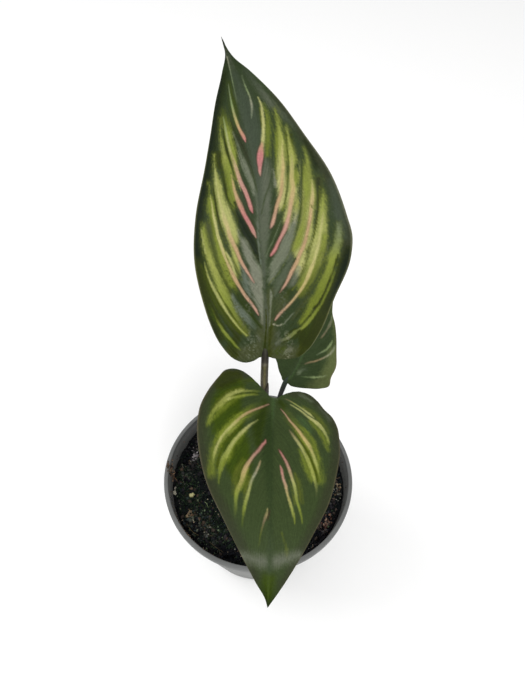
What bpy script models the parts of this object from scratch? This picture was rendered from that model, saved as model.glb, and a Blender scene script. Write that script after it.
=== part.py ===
"""Potted pinstripe calathea: a grey nursery pot, its soil, three stalks and three blades.

Metres, +Z up. The origin is the middle of the pot's underside, on the surface that it stands on.
+Y points to the back of the plant and +X to its right, as seen from the front.
"""
from math import cos, pi, radians, sin

import bmesh
import bpy
import numpy as np
from mathutils import Vector, noise

MM = 0.001
GAP = 0.0003
UP = np.array([0.0, 0.0, 1.0])

# Pot
POT_HEIGHT = 0.070
RIM_RADIUS = 0.045
LIP_WIDTH = 0.002
LIP_DEPTH = 0.0032
LIP_STEP = 0.0006
LIP_ROUND = 0.0005
BODY_TOP_RADIUS = RIM_RADIUS - LIP_STEP
BODY_LOW_RADIUS = 0.0312
BODY_LOW_HEIGHT = 0.003
WALL = 0.0012
FLOOR = 0.0018
INNER_CORNER = 0.0025
POT_STEPS = 56
DRAIN_RADIUS = 0.0035
DRAIN_CIRCLE = 0.019
DRAIN_COUNT = 5
DRAIN_SIDES = 16

# The rounded foot of the pot's body: (inset from the body's lowest radius, height)
FOOT_ROUND = ((0.0008, 0.0012), (0.0020, 0.0003), (0.0032, 0.0))

# Soil
SOIL_LEVEL = 0.0605
SOIL_CORNER = 0.003
SOIL_STEPS = 36
SOIL_RINGS = 7
HOLE_CENTRE = (0.0021, 0.0029)
HOLE_RADIUS = 0.0044
HOLE_FLOOR = 0.046
HOLE_SIDES = 28

# Swells of the soil's surface: (height, swells per metre, layer of the noise)
SOIL_SWELLS = ((0.0011, 90, 0.3), (0.0007, 260, 4.1))

# Stalks. They share one shoot: the youngest leaf's stalk is its core, and the other two are sheaths
# round it that each end in a free petiole. Points are (x, y, height) in millimetres. A sheath wraps
# so many degrees to each side at its foot and at its mouth. end says how the last two points lie at
# the blade: their distances before its notch and their depth under its middle plane.
CORE_RADIUS = 0.0017
TOP_PETIOLE = 0.0013
TOP_JOINT = 0.0015
SHEATH = 0.0008
SHEATH_EDGE = 0.5
SHEATH_CLOSING = (0.030, 0.006)
SHEATH_TURNING = 0.012
ARC_POINTS = 10
STALK_FOOT = (HOLE_FLOOR + GAP) / MM

TOP_STALK = dict(
    path=((2.1, 2.9, STALK_FOOT), (2.0, 3.6, 75), (1.8, 5.0, 100), (1.4, 6.5, 130), (1.1, 7.1, 143)),
    end=(4, 0.3, 0.5), steps=28)

FRONT_STALK = dict(
    facing=158, inner=CORE_RADIUS + GAP, petiole=0.0012, joint=0.0013, mouth=0.126, wraps=(150, 60),
    held=((2.1, 2.9, STALK_FOOT), (2.0, 3.6, 75), (1.8, 5.0, 100), (1.5, 6.0, 118)),
    free=((3.2, 1.8, 127), (4.1, -1.4, 134)), end=(-0.6, -1.3, 2.9), steps=36)

REAR_STALK = dict(
    facing=24, inner=CORE_RADIUS + SHEATH + 2 * GAP, petiole=0.0010, joint=0.0011, mouth=0.090,
    wraps=(155, 60), held=((2.1, 2.9, STALK_FOOT), (2.0, 3.6, 75), (2.2, 4.6, 87)),
    free=((6.2, 13.2, 99), (8.1, 17.9, 108.5)), end=(2.5, 0.3, 0.5), steps=28)

# Blades
BLADE_THICK = 0.0008
RIB_UNDER = 0.0013
RIB_OVER = 0.0003
RIB_TAPER = 0.7
FOLD_ROUND = 2.5
COLUMN_POWER = 1.5
BASE_FADE = 6
SPINE_STEPS = 300
OUTLINE_STEPS = 400
BASE_STEPS = 200

# Each blade is a flat outline in millimetres, x along the midrib from the notch and y to the side,
# laid over a surface that leaves base at the given heading (degrees from +Y towards +X).
# rise is the midrib's angle above level as a + b * u + c * u * u, with u running from 0 to 1.
# roll is the turn about the midrib, in degrees: at the notch, and how much more by the tip.
# fold is the slope of the two halves beside the midrib, and curl is how far the margins hang back.
# waves are (side, height in mm, length in mm, phase) of the margin's swells.
# corners are the outline points of each half, counted from the notch, where its base edge ends.
TOP_BLADE = dict(
    base=(0.0005, 0.008, 0.152), heading=0, rise=(57, -8, -4), roll=(2, 0),
    length=105, half_width=28, fold=0.14, curl=0.07,
    waves=((1, 0.9, 46, 0.6), (-1, 0.7, 52, 2.4)),
    midrib=((0, 0.3), (11, 0.7), (23, 0), (40, -1.9), (57, -3.1), (68.5, -5), (84, -9.8), (97, -13.9),
            (104.5, -16.2)),
    left=((0, 0.3), (-0.2, -1.2), (-1.4, -3), (-2.3, -6.2), (-1.3, -10), (4.8, -15.8), (11.5, -19.1),
          (19, -21.6), (33.5, -24.6), (49, -24.1), (65, -21.1), (75, -19.4), (85, -17.8), (94, -15.8),
          (100, -14.9), (104.5, -16.2)),
    right=((0, 0.3), (0.1, 1.8), (-0.3, 4), (-0.3, 7.7), (0.9, 12.7), (4.4, 16.5), (9.7, 19.5), (23, 24.3),
           (37, 28.9), (44.5, 28.8), (51, 26.5), (64, 20.5), (76, 11.3), (88, 1.2), (95, -7), (99.2, -12.7),
           (102, -15.1), (104.5, -16.2)),
    corners=(4, 4), rows=40, columns=8)

FRONT_BLADE = dict(
    base=(0.0052, -0.004, 0.143), heading=180, rise=(6, -2, -52), roll=(12, -8),
    length=72, half_width=25, fold=0.12, curl=0.12,
    waves=((1, 0.8, 34, 0.4), (-1, 1.0, 30, 2.0)),
    midrib=((0, 0.4), (19, 1.1), (45, 1.2), (71.4, 1.1)),
    left=((0, 0.4), (-0.3, 1.9), (-1.6, 3), (-3.8, 5.2), (-7.1, 8.5), (-10, 12.4), (-10.8, 16.2),
          (-9.7, 19.2), (-6, 21.4), (-1.4, 23.5), (3.8, 25.4), (8.8, 26.7), (13.6, 26.9), (23.9, 25.3),
          (34.9, 21.8), (45.3, 15.8), (54.6, 10.2), (63.7, 4.8), (68.4, 2), (71.4, 1.1)),
    right=((0, 0.4), (-0.3, -1.1), (-1.3, -2.2), (-3.1, -4.9), (-4.4, -8.7), (-3.7, -13.1), (-1.1, -16.2),
           (2.2, -18.6), (5.1, -21.7), (8.8, -23.5), (15.1, -23.8), (28.9, -21.1), (38.6, -18.3),
           (49.3, -12.5), (58.2, -7.3), (65.3, -2.9), (69, -0.5), (71.4, 1.1)),
    corners=(6, 5), rows=34, columns=8)

REAR_BLADE = dict(
    base=(0.010, 0.022, 0.116), heading=25, rise=(32, -6, -6), roll=(3, 0),
    length=54, half_width=18, fold=0.16, curl=0.10,
    waves=((1, 0.9, 26, 1.2), (-1, 0.7, 30, 0.0)),
    midrib=((0, 0.5), (4, 2.3), (11, 3.2), (25, 3), (40, 1.5), (54, 0)),
    left=((0, 0.5), (0.3, -0.8), (1.7, -2), (3.4, -3.8), (6.4, -6), (9, -8.4), (15, -12), (23, -14),
          (31, -12.5), (39, -8.5), (46, -4), (51, -1.2), (54, 0)),
    right=((0, 0.5), (-0.2, 1.9), (-0.6, 3.5), (-0.3, 6), (1.1, 11), (3.2, 16.5), (5.4, 19.3), (9, 18.6),
           (14, 18.7), (20.2, 16.5), (25.6, 14.3), (31.8, 10.9), (35.4, 8.3), (40.8, 6.2), (47, 3.6),
           (51, 1.5), (54, 0)),
    corners=(4, 5), rows=26, columns=7)


def clear_scene():
    for thing in list(bpy.data.objects):
        bpy.data.objects.remove(thing, do_unlink=True)


def new_collection(name):
    collection = bpy.data.collections.new(name)
    bpy.context.scene.collection.children.link(collection)
    return collection


def new_material(name, colour, roughness):
    material = bpy.data.materials.new(name)
    material.use_nodes = True
    shader = material.node_tree.nodes["Principled BSDF"]
    shader.inputs["Base Color"].default_value = (*colour, 1.0)
    shader.inputs["Roughness"].default_value = roughness
    shader.inputs["Metallic"].default_value = 0.0
    return material


def add_object(name, mesh, collection, material=None):
    thing = bpy.data.objects.new(name, mesh)
    collection.objects.link(thing)
    if material:
        mesh.materials.append(material)
    return thing


def curve_through(points, steps):
    """Smooth curve through the points, read at steps + 1 places at equal distances."""
    points = np.array(points, float)
    chord = np.linalg.norm(np.diff(points, axis=0), axis=1)
    slope = np.diff(points, axis=0) / chord[:, None]
    weight = (chord[:-1] / (chord[:-1] + chord[1:]))[:, None]
    tangent = np.vstack([slope[:1], slope[:-1] * (1 - weight) + slope[1:] * weight, slope[-1:]])
    t = np.linspace(0, 1, 17)[:, None]
    pieces = [points[:1]]
    for i, length in enumerate(chord):
        start = (2 * t ** 3 - 3 * t ** 2 + 1) * points[i] + (t ** 3 - 2 * t ** 2 + t) * length * tangent[i]
        end = (3 * t ** 2 - 2 * t ** 3) * points[i + 1] + (t ** 3 - t ** 2) * length * tangent[i + 1]
        pieces.append((start + end)[1:])
    fine = np.vstack(pieces)
    distance = np.concatenate([[0], np.cumsum(np.linalg.norm(np.diff(fine, axis=0), axis=1))])
    places = np.linspace(0, distance[-1], steps + 1)
    return np.stack([np.interp(places, distance, column) for column in fine.T], axis=1)


def smooth_step(low, high, value):
    t = min(max((value - low) / (high - low), 0.0), 1.0)
    return t * t * (3 - 2 * t)


def drill(name, places, radius, low, high, sides, cutters):
    """Cutter of upright round bores at the (x, y) places, from low to high."""
    bores = bmesh.new()
    for x, y in places:
        made = bmesh.ops.create_cone(bores, cap_ends=True, segments=sides, radius1=radius, radius2=radius,
                                     depth=high - low)
        bmesh.ops.translate(bores, verts=made["verts"], vec=Vector((x, y, (low + high) / 2)))
    mesh = bpy.data.meshes.new(name)
    bores.to_mesh(mesh)
    bores.free()
    cutter = add_object(name, mesh, cutters)
    cutter.hide_render = True
    cutter.display_type = "WIRE"
    return cutter


def cut(thing, cutter):
    boolean = thing.modifiers.new(cutter.name, "BOOLEAN")
    boolean.operation = "DIFFERENCE"
    boolean.object = cutter


# Pot and soil

def body_radius(height):
    """Outer radius of the pot's tapered body."""
    rise = (height - BODY_LOW_HEIGHT) / (POT_HEIGHT - LIP_DEPTH - BODY_LOW_HEIGHT)
    return BODY_LOW_RADIUS + rise * (BODY_TOP_RADIUS - BODY_LOW_RADIUS)


def turned(name, profile, steps, collection, material):
    """Turned solid: profile holds (radius, height) pairs that run down the outer side."""
    mesh = bpy.data.meshes.new(name)
    edges = [(i, i + 1) for i in range(len(profile) - 1)]
    mesh.from_pydata([(radius, 0, height) for radius, height in profile], edges, [])
    thing = add_object(name, mesh, collection, material)
    screw = thing.modifiers.new("turn", "SCREW")
    screw.axis = "Z"
    screw.steps = steps
    screw.render_steps = steps
    screw.use_merge_vertices = True
    screw.merge_threshold = 0.00001
    return thing


def bake(thing):
    """Give the object its modified shape as plain mesh data."""
    graph = bpy.context.evaluated_depsgraph_get()
    mesh = bpy.data.meshes.new_from_object(thing.evaluated_get(graph))
    thing.modifiers.clear()
    thing.data = mesh
    return thing


def build_pot(collection, cutters, material):
    inner_lip = RIM_RADIUS - LIP_WIDTH
    lip_foot = POT_HEIGHT - LIP_DEPTH
    inner_corner = FLOOR + INNER_CORNER
    foot = [(BODY_LOW_RADIUS - inset, height) for inset, height in FOOT_ROUND]
    profile = [
        (0, FLOOR),
        (body_radius(FLOOR) - WALL - INNER_CORNER, FLOOR),
        (body_radius(inner_corner) - WALL, inner_corner),
        (body_radius(lip_foot) - WALL, lip_foot),
        (inner_lip, lip_foot + LIP_STEP),
        (inner_lip, POT_HEIGHT - LIP_ROUND),
        (inner_lip + LIP_ROUND, POT_HEIGHT),
        (RIM_RADIUS - LIP_ROUND, POT_HEIGHT),
        (RIM_RADIUS, POT_HEIGHT - LIP_ROUND),
        (RIM_RADIUS, lip_foot + LIP_STEP),
        (BODY_TOP_RADIUS, lip_foot),
        (BODY_LOW_RADIUS, BODY_LOW_HEIGHT),
        *foot,
        (0, 0),
    ]
    pot = turned("pot", profile, POT_STEPS, collection, material)
    places = []
    for i in range(DRAIN_COUNT):
        angle = 2 * pi * i / DRAIN_COUNT + pi / 2
        places.append((DRAIN_CIRCLE * cos(angle), DRAIN_CIRCLE * sin(angle)))
    cut(pot, drill("drain_holes", places, DRAIN_RADIUS, -FLOOR, 2 * FLOOR, DRAIN_SIDES, cutters))


def soil_relief(x, y):
    """Height of the surface above the soil's level."""
    return sum(height * noise.noise(Vector((x * rate, y * rate, layer)))
               for height, rate, layer in SOIL_SWELLS)


def build_soil(collection, cutters, material):
    low = FLOOR + GAP
    edge = body_radius(SOIL_LEVEL) - WALL - GAP
    low_edge = body_radius(low + SOIL_CORNER) - WALL - GAP
    profile = [(edge * ring / SOIL_RINGS, SOIL_LEVEL) for ring in range(SOIL_RINGS + 1)]
    profile.append((low_edge, low + SOIL_CORNER))
    profile.append((low_edge - SOIL_CORNER, low))
    profile.append((0, low))
    soil = bake(turned("soil", profile, SOIL_STEPS, collection, material))
    for vertex in soil.data.vertices:
        spot = vertex.co
        if spot.z > SOIL_LEVEL - MM and spot.xy.length < edge - MM:
            spot.z += soil_relief(spot.x, spot.y)
    cut(soil, drill("shoot_hole", [HOLE_CENTRE], HOLE_RADIUS, HOLE_FLOOR, POT_HEIGHT, HOLE_SIDES, cutters))


# Blades

def spine(blade, x):
    """Points, side directions and upward normals of the blade's middle plane at flat lengths x."""
    length = blade["length"] * MM
    start, slope, bend = blade["rise"]
    table_x = np.linspace(0, length, SPINE_STEPS + 1)
    u = table_x / length
    table_angle = np.radians(start + slope * u + bend * u * u)
    middle = (table_angle[1:] + table_angle[:-1]) / 2
    step = length / SPINE_STEPS
    ahead = np.concatenate([[0], np.cumsum(np.cos(middle) * step)])
    above = np.concatenate([[0], np.cumsum(np.sin(middle) * step)])
    angle = np.interp(x, table_x, table_angle)
    past = np.minimum(x, 0) + np.maximum(x - length, 0)
    ahead = np.interp(x, table_x, ahead) + past * np.cos(angle)
    above = np.interp(x, table_x, above) + past * np.sin(angle)
    heading = radians(blade["heading"])
    forward = np.array([sin(heading), cos(heading), 0.0])
    across = np.array([cos(heading), -sin(heading), 0.0])
    point = np.array(blade["base"]) + ahead[..., None] * forward + above[..., None] * UP
    normal = np.cos(angle)[..., None] * UP - np.sin(angle)[..., None] * forward
    first, more = blade["roll"]
    roll = np.radians(first + more * np.clip(x / length, 0, 1))[..., None]
    side = across * np.cos(roll) + normal * np.sin(roll)
    return point, side, normal * np.cos(roll) - across * np.sin(roll)


def blade_lift(blade, x, y):
    """Height of the blade over its middle plane: the fold, the hanging margins and their waves."""
    soft = FOLD_ROUND * MM
    half = blade["half_width"] * MM
    reach = np.abs(y) / half
    lift = blade["fold"] * (np.sqrt(y * y + soft * soft) - soft) - blade["curl"] * half * reach ** 2
    for side, height, length, phase in blade["waves"]:
        swell = height * MM * reach ** 2 * np.sin(2 * pi * x / (length * MM) + phase)
        lift = lift + np.where(y * side > 0, swell, 0)
    return lift


def blade_point(blade, x, y, over=0.0):
    """Point of the blade's surface, raised by over along its normal."""
    point, side, normal = spine(blade, x)
    return point + side * y[..., None] + normal * (blade_lift(blade, x, y) + over)[..., None]


def half_sheet(blade, side, corner):
    """Flat grid of one half: rows from the notch to the tip, columns from the midrib to the margin.

    The outline's first part, up to its corner point, is the grid's base edge.
    """
    rows, columns = blade["rows"], blade["columns"]
    outline = curve_through(blade[side], OUTLINE_STEPS)
    split = int(np.argmin(np.linalg.norm(outline - np.array(blade[side][corner]), axis=1)))
    share = np.linspace(0, 1, columns + 1) ** COLUMN_POWER
    base = curve_through(outline[:split + 1:2], BASE_STEPS)
    base = base[np.round(share * BASE_STEPS).astype(int)]
    margin = curve_through(outline[split::2], rows)
    margin[-1] = outline[-1]
    middle = curve_through(blade["midrib"], rows)
    along = np.linspace(0, 1, rows + 1)[:, None, None]
    ruled = middle[:, None] + share[None, :, None] * (margin - middle)[:, None]
    return (ruled + (1 - along) ** BASE_FADE * (base - ruled[0])[None]) * MM


def build_blade(name, blade, collection, material):
    left = half_sheet(blade, "left", blade["corners"][0])
    right = half_sheet(blade, "right", blade["corners"][1])
    if blade["heading"] == 180:
        left, right = right, left
    flat = np.concatenate([left[:, :0:-1], right], axis=1)
    rows, width = flat.shape[0] - 1, flat.shape[1]
    middle = width // 2
    x, y = flat[:-1, :, 0], flat[:-1, :, 1]
    fade = np.clip(1 - x[:, middle] / (blade["length"] * MM), 0, 1)
    over = np.full(x.shape, BLADE_THICK / 2)
    under = over.copy()
    over[:, middle] += RIB_OVER * fade
    under[:, middle] += RIB_UNDER * fade ** RIB_TAPER
    tip = flat[-1, middle]
    grid = bmesh.new()
    layers = []
    for offset in (over, -under):
        points = blade_point(blade, x, y, offset)
        end = blade_point(blade, tip[0], tip[1:], np.sign(offset[0, 0]) * BLADE_THICK / 2)
        layer = [[grid.verts.new(spot) for spot in row] for row in points]
        layers.append((layer, grid.verts.new(end[0])))

    def face(*corners):
        grid.faces.new(corners)

    # The two faces are split into triangles alike, mirrored about the midrib.
    for flip, (layer, point) in enumerate(layers):
        for i in range(rows - 1):
            for j in range(width - 1):
                a, b, c, d = layer[i][j], layer[i][j + 1], layer[i + 1][j + 1], layer[i + 1][j]
                if j < middle:
                    halves = ((a, b, d), (b, c, d))
                else:
                    halves = ((a, b, c), (a, c, d))
                for half in halves:
                    face(*(half[::-1] if flip else half))
        for j in range(width - 1):
            last = (layer[-1][j], layer[-1][j + 1], point)
            face(*(last[::-1] if flip else last))
    rims = []
    for layer, point in layers:
        right_side = [row[-1] for row in layer[1:]]
        left_side = [row[0] for row in layer[:0:-1]]
        rims.append(layer[0] + right_side + [point] + left_side)
    for i, low in enumerate(rims[1]):
        following = (i + 1) % len(rims[1])
        face(low, rims[1][following], rims[0][following])
        face(low, rims[0][following], rims[0][i])
    bmesh.ops.recalc_face_normals(grid, faces=grid.faces)
    mesh = bpy.data.meshes.new(name)
    grid.to_mesh(mesh)
    grid.free()
    mesh.shade_smooth()
    add_object(name, mesh, collection, material)


# Stalks

def arc_section(inner, thick, reach, wrap):
    """Sheath's section round the shoot's axis, which lies reach behind the section's own centre."""
    section = []
    for outer in (True, False):
        for i in range(ARC_POINTS):
            share = 2 * i / (ARC_POINTS - 1) - 1
            edge = 1 - (1 - SHEATH_EDGE) * share ** 2
            radius = inner + thick * edge if outer else inner
            angle = wrap * share if outer else -wrap * share
            section.append((radius * cos(angle) - reach, radius * sin(angle)))
    return np.array(section)


def round_section(radius):
    count = 2 * ARC_POINTS
    turn = 2 * pi / count
    start = -(ARC_POINTS - 1) / 2 * turn
    return np.array([(radius * cos(start + turn * i), radius * sin(start + turn * i)) for i in range(count)])


def build_stalk(name, path, facing, sections, collection, material):
    """Loft the sections, one for each point of the path, with their first axis towards facing."""
    heading = radians(facing)
    across = np.array([cos(heading), -sin(heading), 0.0])
    loft = bmesh.new()
    rings = []
    for i, centre in enumerate(path):
        along = path[min(i + 1, len(path) - 1)] - path[max(i - 1, 0)]
        along = along / np.linalg.norm(along)
        out = np.cross(along, across)
        out = out / np.linalg.norm(out)
        side = np.cross(out, along)
        ring = [loft.verts.new(centre + out * u + side * v) for u, v in sections[i]]
        rings.append(ring)
    count = 2 * ARC_POINTS
    for lower, upper in zip(rings, rings[1:]):
        for j in range(count):
            k = (j + 1) % count
            loft.faces.new((lower[j], lower[k], upper[k]))
            loft.faces.new((lower[j], upper[k], upper[j]))
    for ring in (rings[0], rings[-1]):
        for j in range(ARC_POINTS - 1):
            far = count - 1 - j
            loft.faces.new((ring[j], ring[j + 1], ring[far - 1], ring[far]))
    bmesh.ops.recalc_face_normals(loft, faces=loft.faces)
    mesh = bpy.data.meshes.new(name)
    loft.to_mesh(mesh)
    loft.free()
    mesh.shade_smooth()
    add_object(name, mesh, collection, material)


def stalk_end(blade, bend, before, below):
    """Last two points of a stalk's path, in millimetres: in line with the blade, near its notch."""
    x = np.array([-bend, -before]) * MM
    y = np.full(2, blade["midrib"][0][1] * MM)
    return list(blade_point(blade, x, y, np.full(2, -below * MM)) / MM)


def build_top_stalk(name, stalk, blade, collection, material):
    """Core of the shoot, thicker at its foot and at the joint below the blade."""
    path = curve_through([*stalk["path"], *stalk_end(blade, *stalk["end"])], stalk["steps"]) * MM
    sections = []
    for i in range(len(path)):
        share = i / (len(path) - 1)
        radius = CORE_RADIUS + (TOP_PETIOLE - CORE_RADIUS) * smooth_step(0.45, 0.90, share)
        radius += (TOP_JOINT - TOP_PETIOLE) * smooth_step(0.93, 0.97, share)
        sections.append(round_section(radius))
    build_stalk(name, path, blade["heading"], sections, collection, material)


def build_sheathed_stalk(name, stalk, blade, collection, material):
    """Stalk that is a sheath round the shoot up to its mouth and a round petiole above it."""
    inner, petiole, mouth = stalk["inner"], stalk["petiole"], stalk["mouth"]
    reach = inner + petiole
    facing = radians(stalk["facing"])
    held = np.array(stalk["held"]) + np.array([sin(facing), cos(facing), 0.0]) * reach / MM
    path = curve_through([*held, *stalk["free"], *stalk_end(blade, *stalk["end"])], stalk["steps"]) * MM
    low_wrap, high_wrap = stalk["wraps"]
    sections = []
    for i, centre in enumerate(path):
        share = i / (len(path) - 1)
        closing = smooth_step(mouth - SHEATH_CLOSING[0], mouth - SHEATH_CLOSING[1], centre[2])
        wrap = radians(low_wrap + (high_wrap - low_wrap) * closing)
        turning = smooth_step(mouth - SHEATH_TURNING, mouth, centre[2])
        radius = petiole + (stalk["joint"] - petiole) * smooth_step(0.90, 0.97, share)
        sheath = arc_section(inner, SHEATH, reach, wrap)
        sections.append(sheath * (1 - turning) + round_section(radius) * turning)
    build_stalk(name, path, stalk["facing"], sections, collection, material)


def main():
    clear_scene()
    plant = new_collection("pinstripe_calathea")
    cutters = new_collection("cutters")
    grey_plastic = new_material("grey_plastic", (0.13, 0.133, 0.128), 0.5)
    potting_soil = new_material("potting_soil", (0.012, 0.012, 0.010), 0.95)
    dark_stalk = new_material("dark_stalk", (0.045, 0.036, 0.028), 0.45)
    green_blade = new_material("green_blade", (0.055, 0.085, 0.032), 0.4)
    build_pot(plant, cutters, grey_plastic)
    build_soil(plant, cutters, potting_soil)
    build_top_stalk("stalk_top", TOP_STALK, TOP_BLADE, plant, dark_stalk)
    build_sheathed_stalk("stalk_front", FRONT_STALK, FRONT_BLADE, plant, dark_stalk)
    build_sheathed_stalk("stalk_rear", REAR_STALK, REAR_BLADE, plant, dark_stalk)
    build_blade("blade_top", TOP_BLADE, plant, green_blade)
    build_blade("blade_front", FRONT_BLADE, plant, green_blade)
    build_blade("blade_rear", REAR_BLADE, plant, green_blade)


main()
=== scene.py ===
"""Looks of the potted pinstripe calathea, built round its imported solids.

Metres, +Z up, in the frame of the solids. +Y points to the back of the plant and +X to its right.
"""

from math import cos, pi, radians, sin

import bmesh
import bpy
import numpy as np
from mathutils import Matrix, Vector, noise


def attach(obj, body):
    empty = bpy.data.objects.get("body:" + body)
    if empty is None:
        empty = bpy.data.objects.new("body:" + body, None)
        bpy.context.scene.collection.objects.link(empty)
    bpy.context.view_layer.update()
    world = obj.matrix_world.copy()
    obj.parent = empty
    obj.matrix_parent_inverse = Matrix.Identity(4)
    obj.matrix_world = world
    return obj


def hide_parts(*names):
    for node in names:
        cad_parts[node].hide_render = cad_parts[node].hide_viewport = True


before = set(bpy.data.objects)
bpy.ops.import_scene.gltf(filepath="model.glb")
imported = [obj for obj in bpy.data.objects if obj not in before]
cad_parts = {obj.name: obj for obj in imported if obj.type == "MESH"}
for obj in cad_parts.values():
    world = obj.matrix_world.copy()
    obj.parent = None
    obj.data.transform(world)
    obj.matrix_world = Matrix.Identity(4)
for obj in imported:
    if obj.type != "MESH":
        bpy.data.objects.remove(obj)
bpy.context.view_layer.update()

MM = 0.001
# Play between the solids
GAP = 0.0003
UP = np.array([0.0, 0.0, 1.0])

# Camera: place, angle below level and roll in degrees, and the photo's height over its focal length
CAMERA_PLACE = (0.0002, -0.108, 0.3056)
CAMERA_PITCH = 52.2
CAMERA_ROLL = 1.7
SENSOR = 36
FOCAL_SHARE = 526 / 700

# Light
WORLD_LIGHT = 0.78
WORLD_COLOUR = (1.0, 1.0, 1.0)
# Each lamp: (place, point that it faces, width, height, watts)
LAMPS = (
    ((0.22, -0.86, 1.00), (0.0, 0.0, 0.13), 0.60, 0.34, 7.5),
    ((-0.9, 0.25, 1.10), (0.0, 0.0, 0.10), 0.8, 0.8, 5.0),
)
FLOOR_COLOUR = (0.97, 0.97, 0.968)
FLOOR_HALF = 6.0

# Pot, as in the solids
POT_HEIGHT = 0.070
RIM_RADIUS = 0.045
LIP_WIDTH = 0.002
LIP_DEPTH = 0.0032
LIP_STEP = 0.0006
BODY_TOP_RADIUS = RIM_RADIUS - LIP_STEP
BODY_LOW_RADIUS = 0.0312
BODY_LOW_HEIGHT = 0.003
WALL = 0.0012
FLOOR = 0.0018
INNER_CORNER = 0.0025
POT_STEPS = 240
DRAIN_RADIUS = 0.0035
DRAIN_CIRCLE = 0.019
DRAIN_COUNT = 5
FOOT_ROUND = ((0.0008, 0.0012), (0.0020, 0.0003), (0.0032, 0.0))

# Soil, as in the solids, and its finer relief: (height, lumps per metre, layer of the noise)
SOIL_LEVEL = 0.0605
SOIL_SWELLS = ((0.0011, 90, 0.3), (0.0007, 260, 4.1))
SOIL_LUMPS = ((0.0010, 420, 7.7), (0.0006, 1000, 11.3), (0.00025, 2400, 15.9))
SHOOT = (0.0021, 0.0031)
# The lumps' noise counts as level less slope times its size; the mound round the shoot is high and wide
LUMP_SHAPE = (0.6, 2.2)
SHOOT_MOUND = (0.0008, 0.005)

# Stalks, as in the solids
CORE_RADIUS = 0.0017
TOP_PETIOLE = 0.00145
TOP_JOINT = 0.0014
SHEATH = 0.0008
SHEATH_EDGE = 0.5
SHEATH_CLOSING = (0.030, 0.006)
SHEATH_TURNING = 0.012
STALK_FOOT = (0.046 + GAP) / MM
RING_POINTS = 24
STALK_FINER = 5
# Shares of the path over which the shoot narrows to a petiole, and how much a stalk's end tapers
NARROWING = (0.45, 0.90)
END_TAPER = 0.45
# Ridges that run along the stalks: how many, how far they drift round, and their height of the radius
RIDGE_COUNT = 9
RIDGE_DRIFT = 1.5
CORE_RIDGE = 0.018
PETIOLE_RIDGE = 0.015

# widening and ending are the shares of a path over which it widens to the joint and tapers at its end
TOP_STALK = dict(
    path=((2.1, 2.9, STALK_FOOT), (2.0, 3.6, 75), (1.8, 5.0, 100), (1.35, 6.5, 130), (1.2, 7.1, 143)),
    end=(4, 0.3, 0.5), into=(6, 1.0), steps=28, widening=(0.86, 0.90), ending=(0.95, 1))

FRONT_STALK = dict(
    facing=158, inner=CORE_RADIUS + GAP, petiole=0.0012, joint=0.0013, mouth=0.126, wraps=(150, 60),
    held=((2.1, 2.9, STALK_FOOT), (2.0, 3.6, 75), (1.8, 5.0, 100), (1.5, 6.0, 118)),
    free=((3.2, 1.8, 127), (4.1, -1.4, 134)), end=(-0.6, -1.3, 2.9), into=(7, 1.2), steps=36,
    widening=(0.84, 0.90), ending=(0.94, 1))

REAR_STALK = dict(
    facing=24, inner=CORE_RADIUS + SHEATH + 2 * GAP, petiole=0.0010, joint=0.0011, mouth=0.090,
    wraps=(155, 60), held=((2.1, 2.9, STALK_FOOT), (2.0, 3.6, 75), (2.2, 4.6, 87)),
    free=((6.2, 13.2, 99), (8.1, 17.9, 108.5)), end=(2.5, 0.3, 0.5), into=(5, 0.9), steps=28,
    widening=(0.84, 0.90), ending=(0.94, 1))

# Blades, as in the solids, thinner and finer. veins says for each half how far a side vein sweeps to the
# tip and how much further apart the veins are at the margin.
THICK = 0.0004
RIB_UNDER = 0.0013
RIB_OVER = 0.0002
RIB_HALF = 1.1
RIB_TAPER = 0.7
FOLD_ROUND = 2.5
COLUMN_POWER = 1.2
BASE_FADE = 6
SPINE_STEPS = 300
OUTLINE_STEPS = 400
BASE_STEPS = 200
COARSER = 3
FAR_OUT = 0.985

TOP_BLADE = dict(
    base=(0.0005, 0.008, 0.152), heading=0, rise=(57, -8, -4), roll=(2, 0),
    length=105, half_width=28, fold=0.14, curl=0.07,
    waves=((1, 0.9, 46, 0.6), (-1, 0.7, 52, 2.4)),
    midrib=((0, 0.7), (11, 0.95), (23, 0), (40, -1.9), (57, -3.1), (68.5, -5), (84, -9.8), (97, -13.9),
            (104.7, -16.35)),
    left=((0, 0.7), (-0.2, -1.2), (-1.4, -3), (-2.3, -6.2), (-1.3, -10), (4.8, -15.8), (11.5, -19.1),
          (19, -21.6), (33.5, -24.6), (49, -24.1), (65, -21.1), (75, -19.4), (85, -17.8), (94, -15.8),
          (100, -15), (102.3, -15.65), (104.7, -16.35)),
    right=((0, 0.7), (0.1, 1.8), (-0.3, 4), (-0.3, 7.7), (0.9, 12.7), (4.4, 16.5), (9.7, 19.5), (23, 24.3),
           (37, 28.9), (44.5, 28.8), (51, 26.5), (64, 20.5), (76, 11.3), (88, 1.2), (95, -7), (99.2, -12.7),
           (102, -14.8), (103.3, -15.45), (104.7, -16.35)),
    corners=(4, 4), rows=390, columns=78, strength=1.0, light=0.8, rim=("rim", 0.6),
    glow=("olive", 0.6, 2.4, 0.6), glowing=("band",),
    veins=((17.3, 0.39), (23.2, 0.35)))

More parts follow.
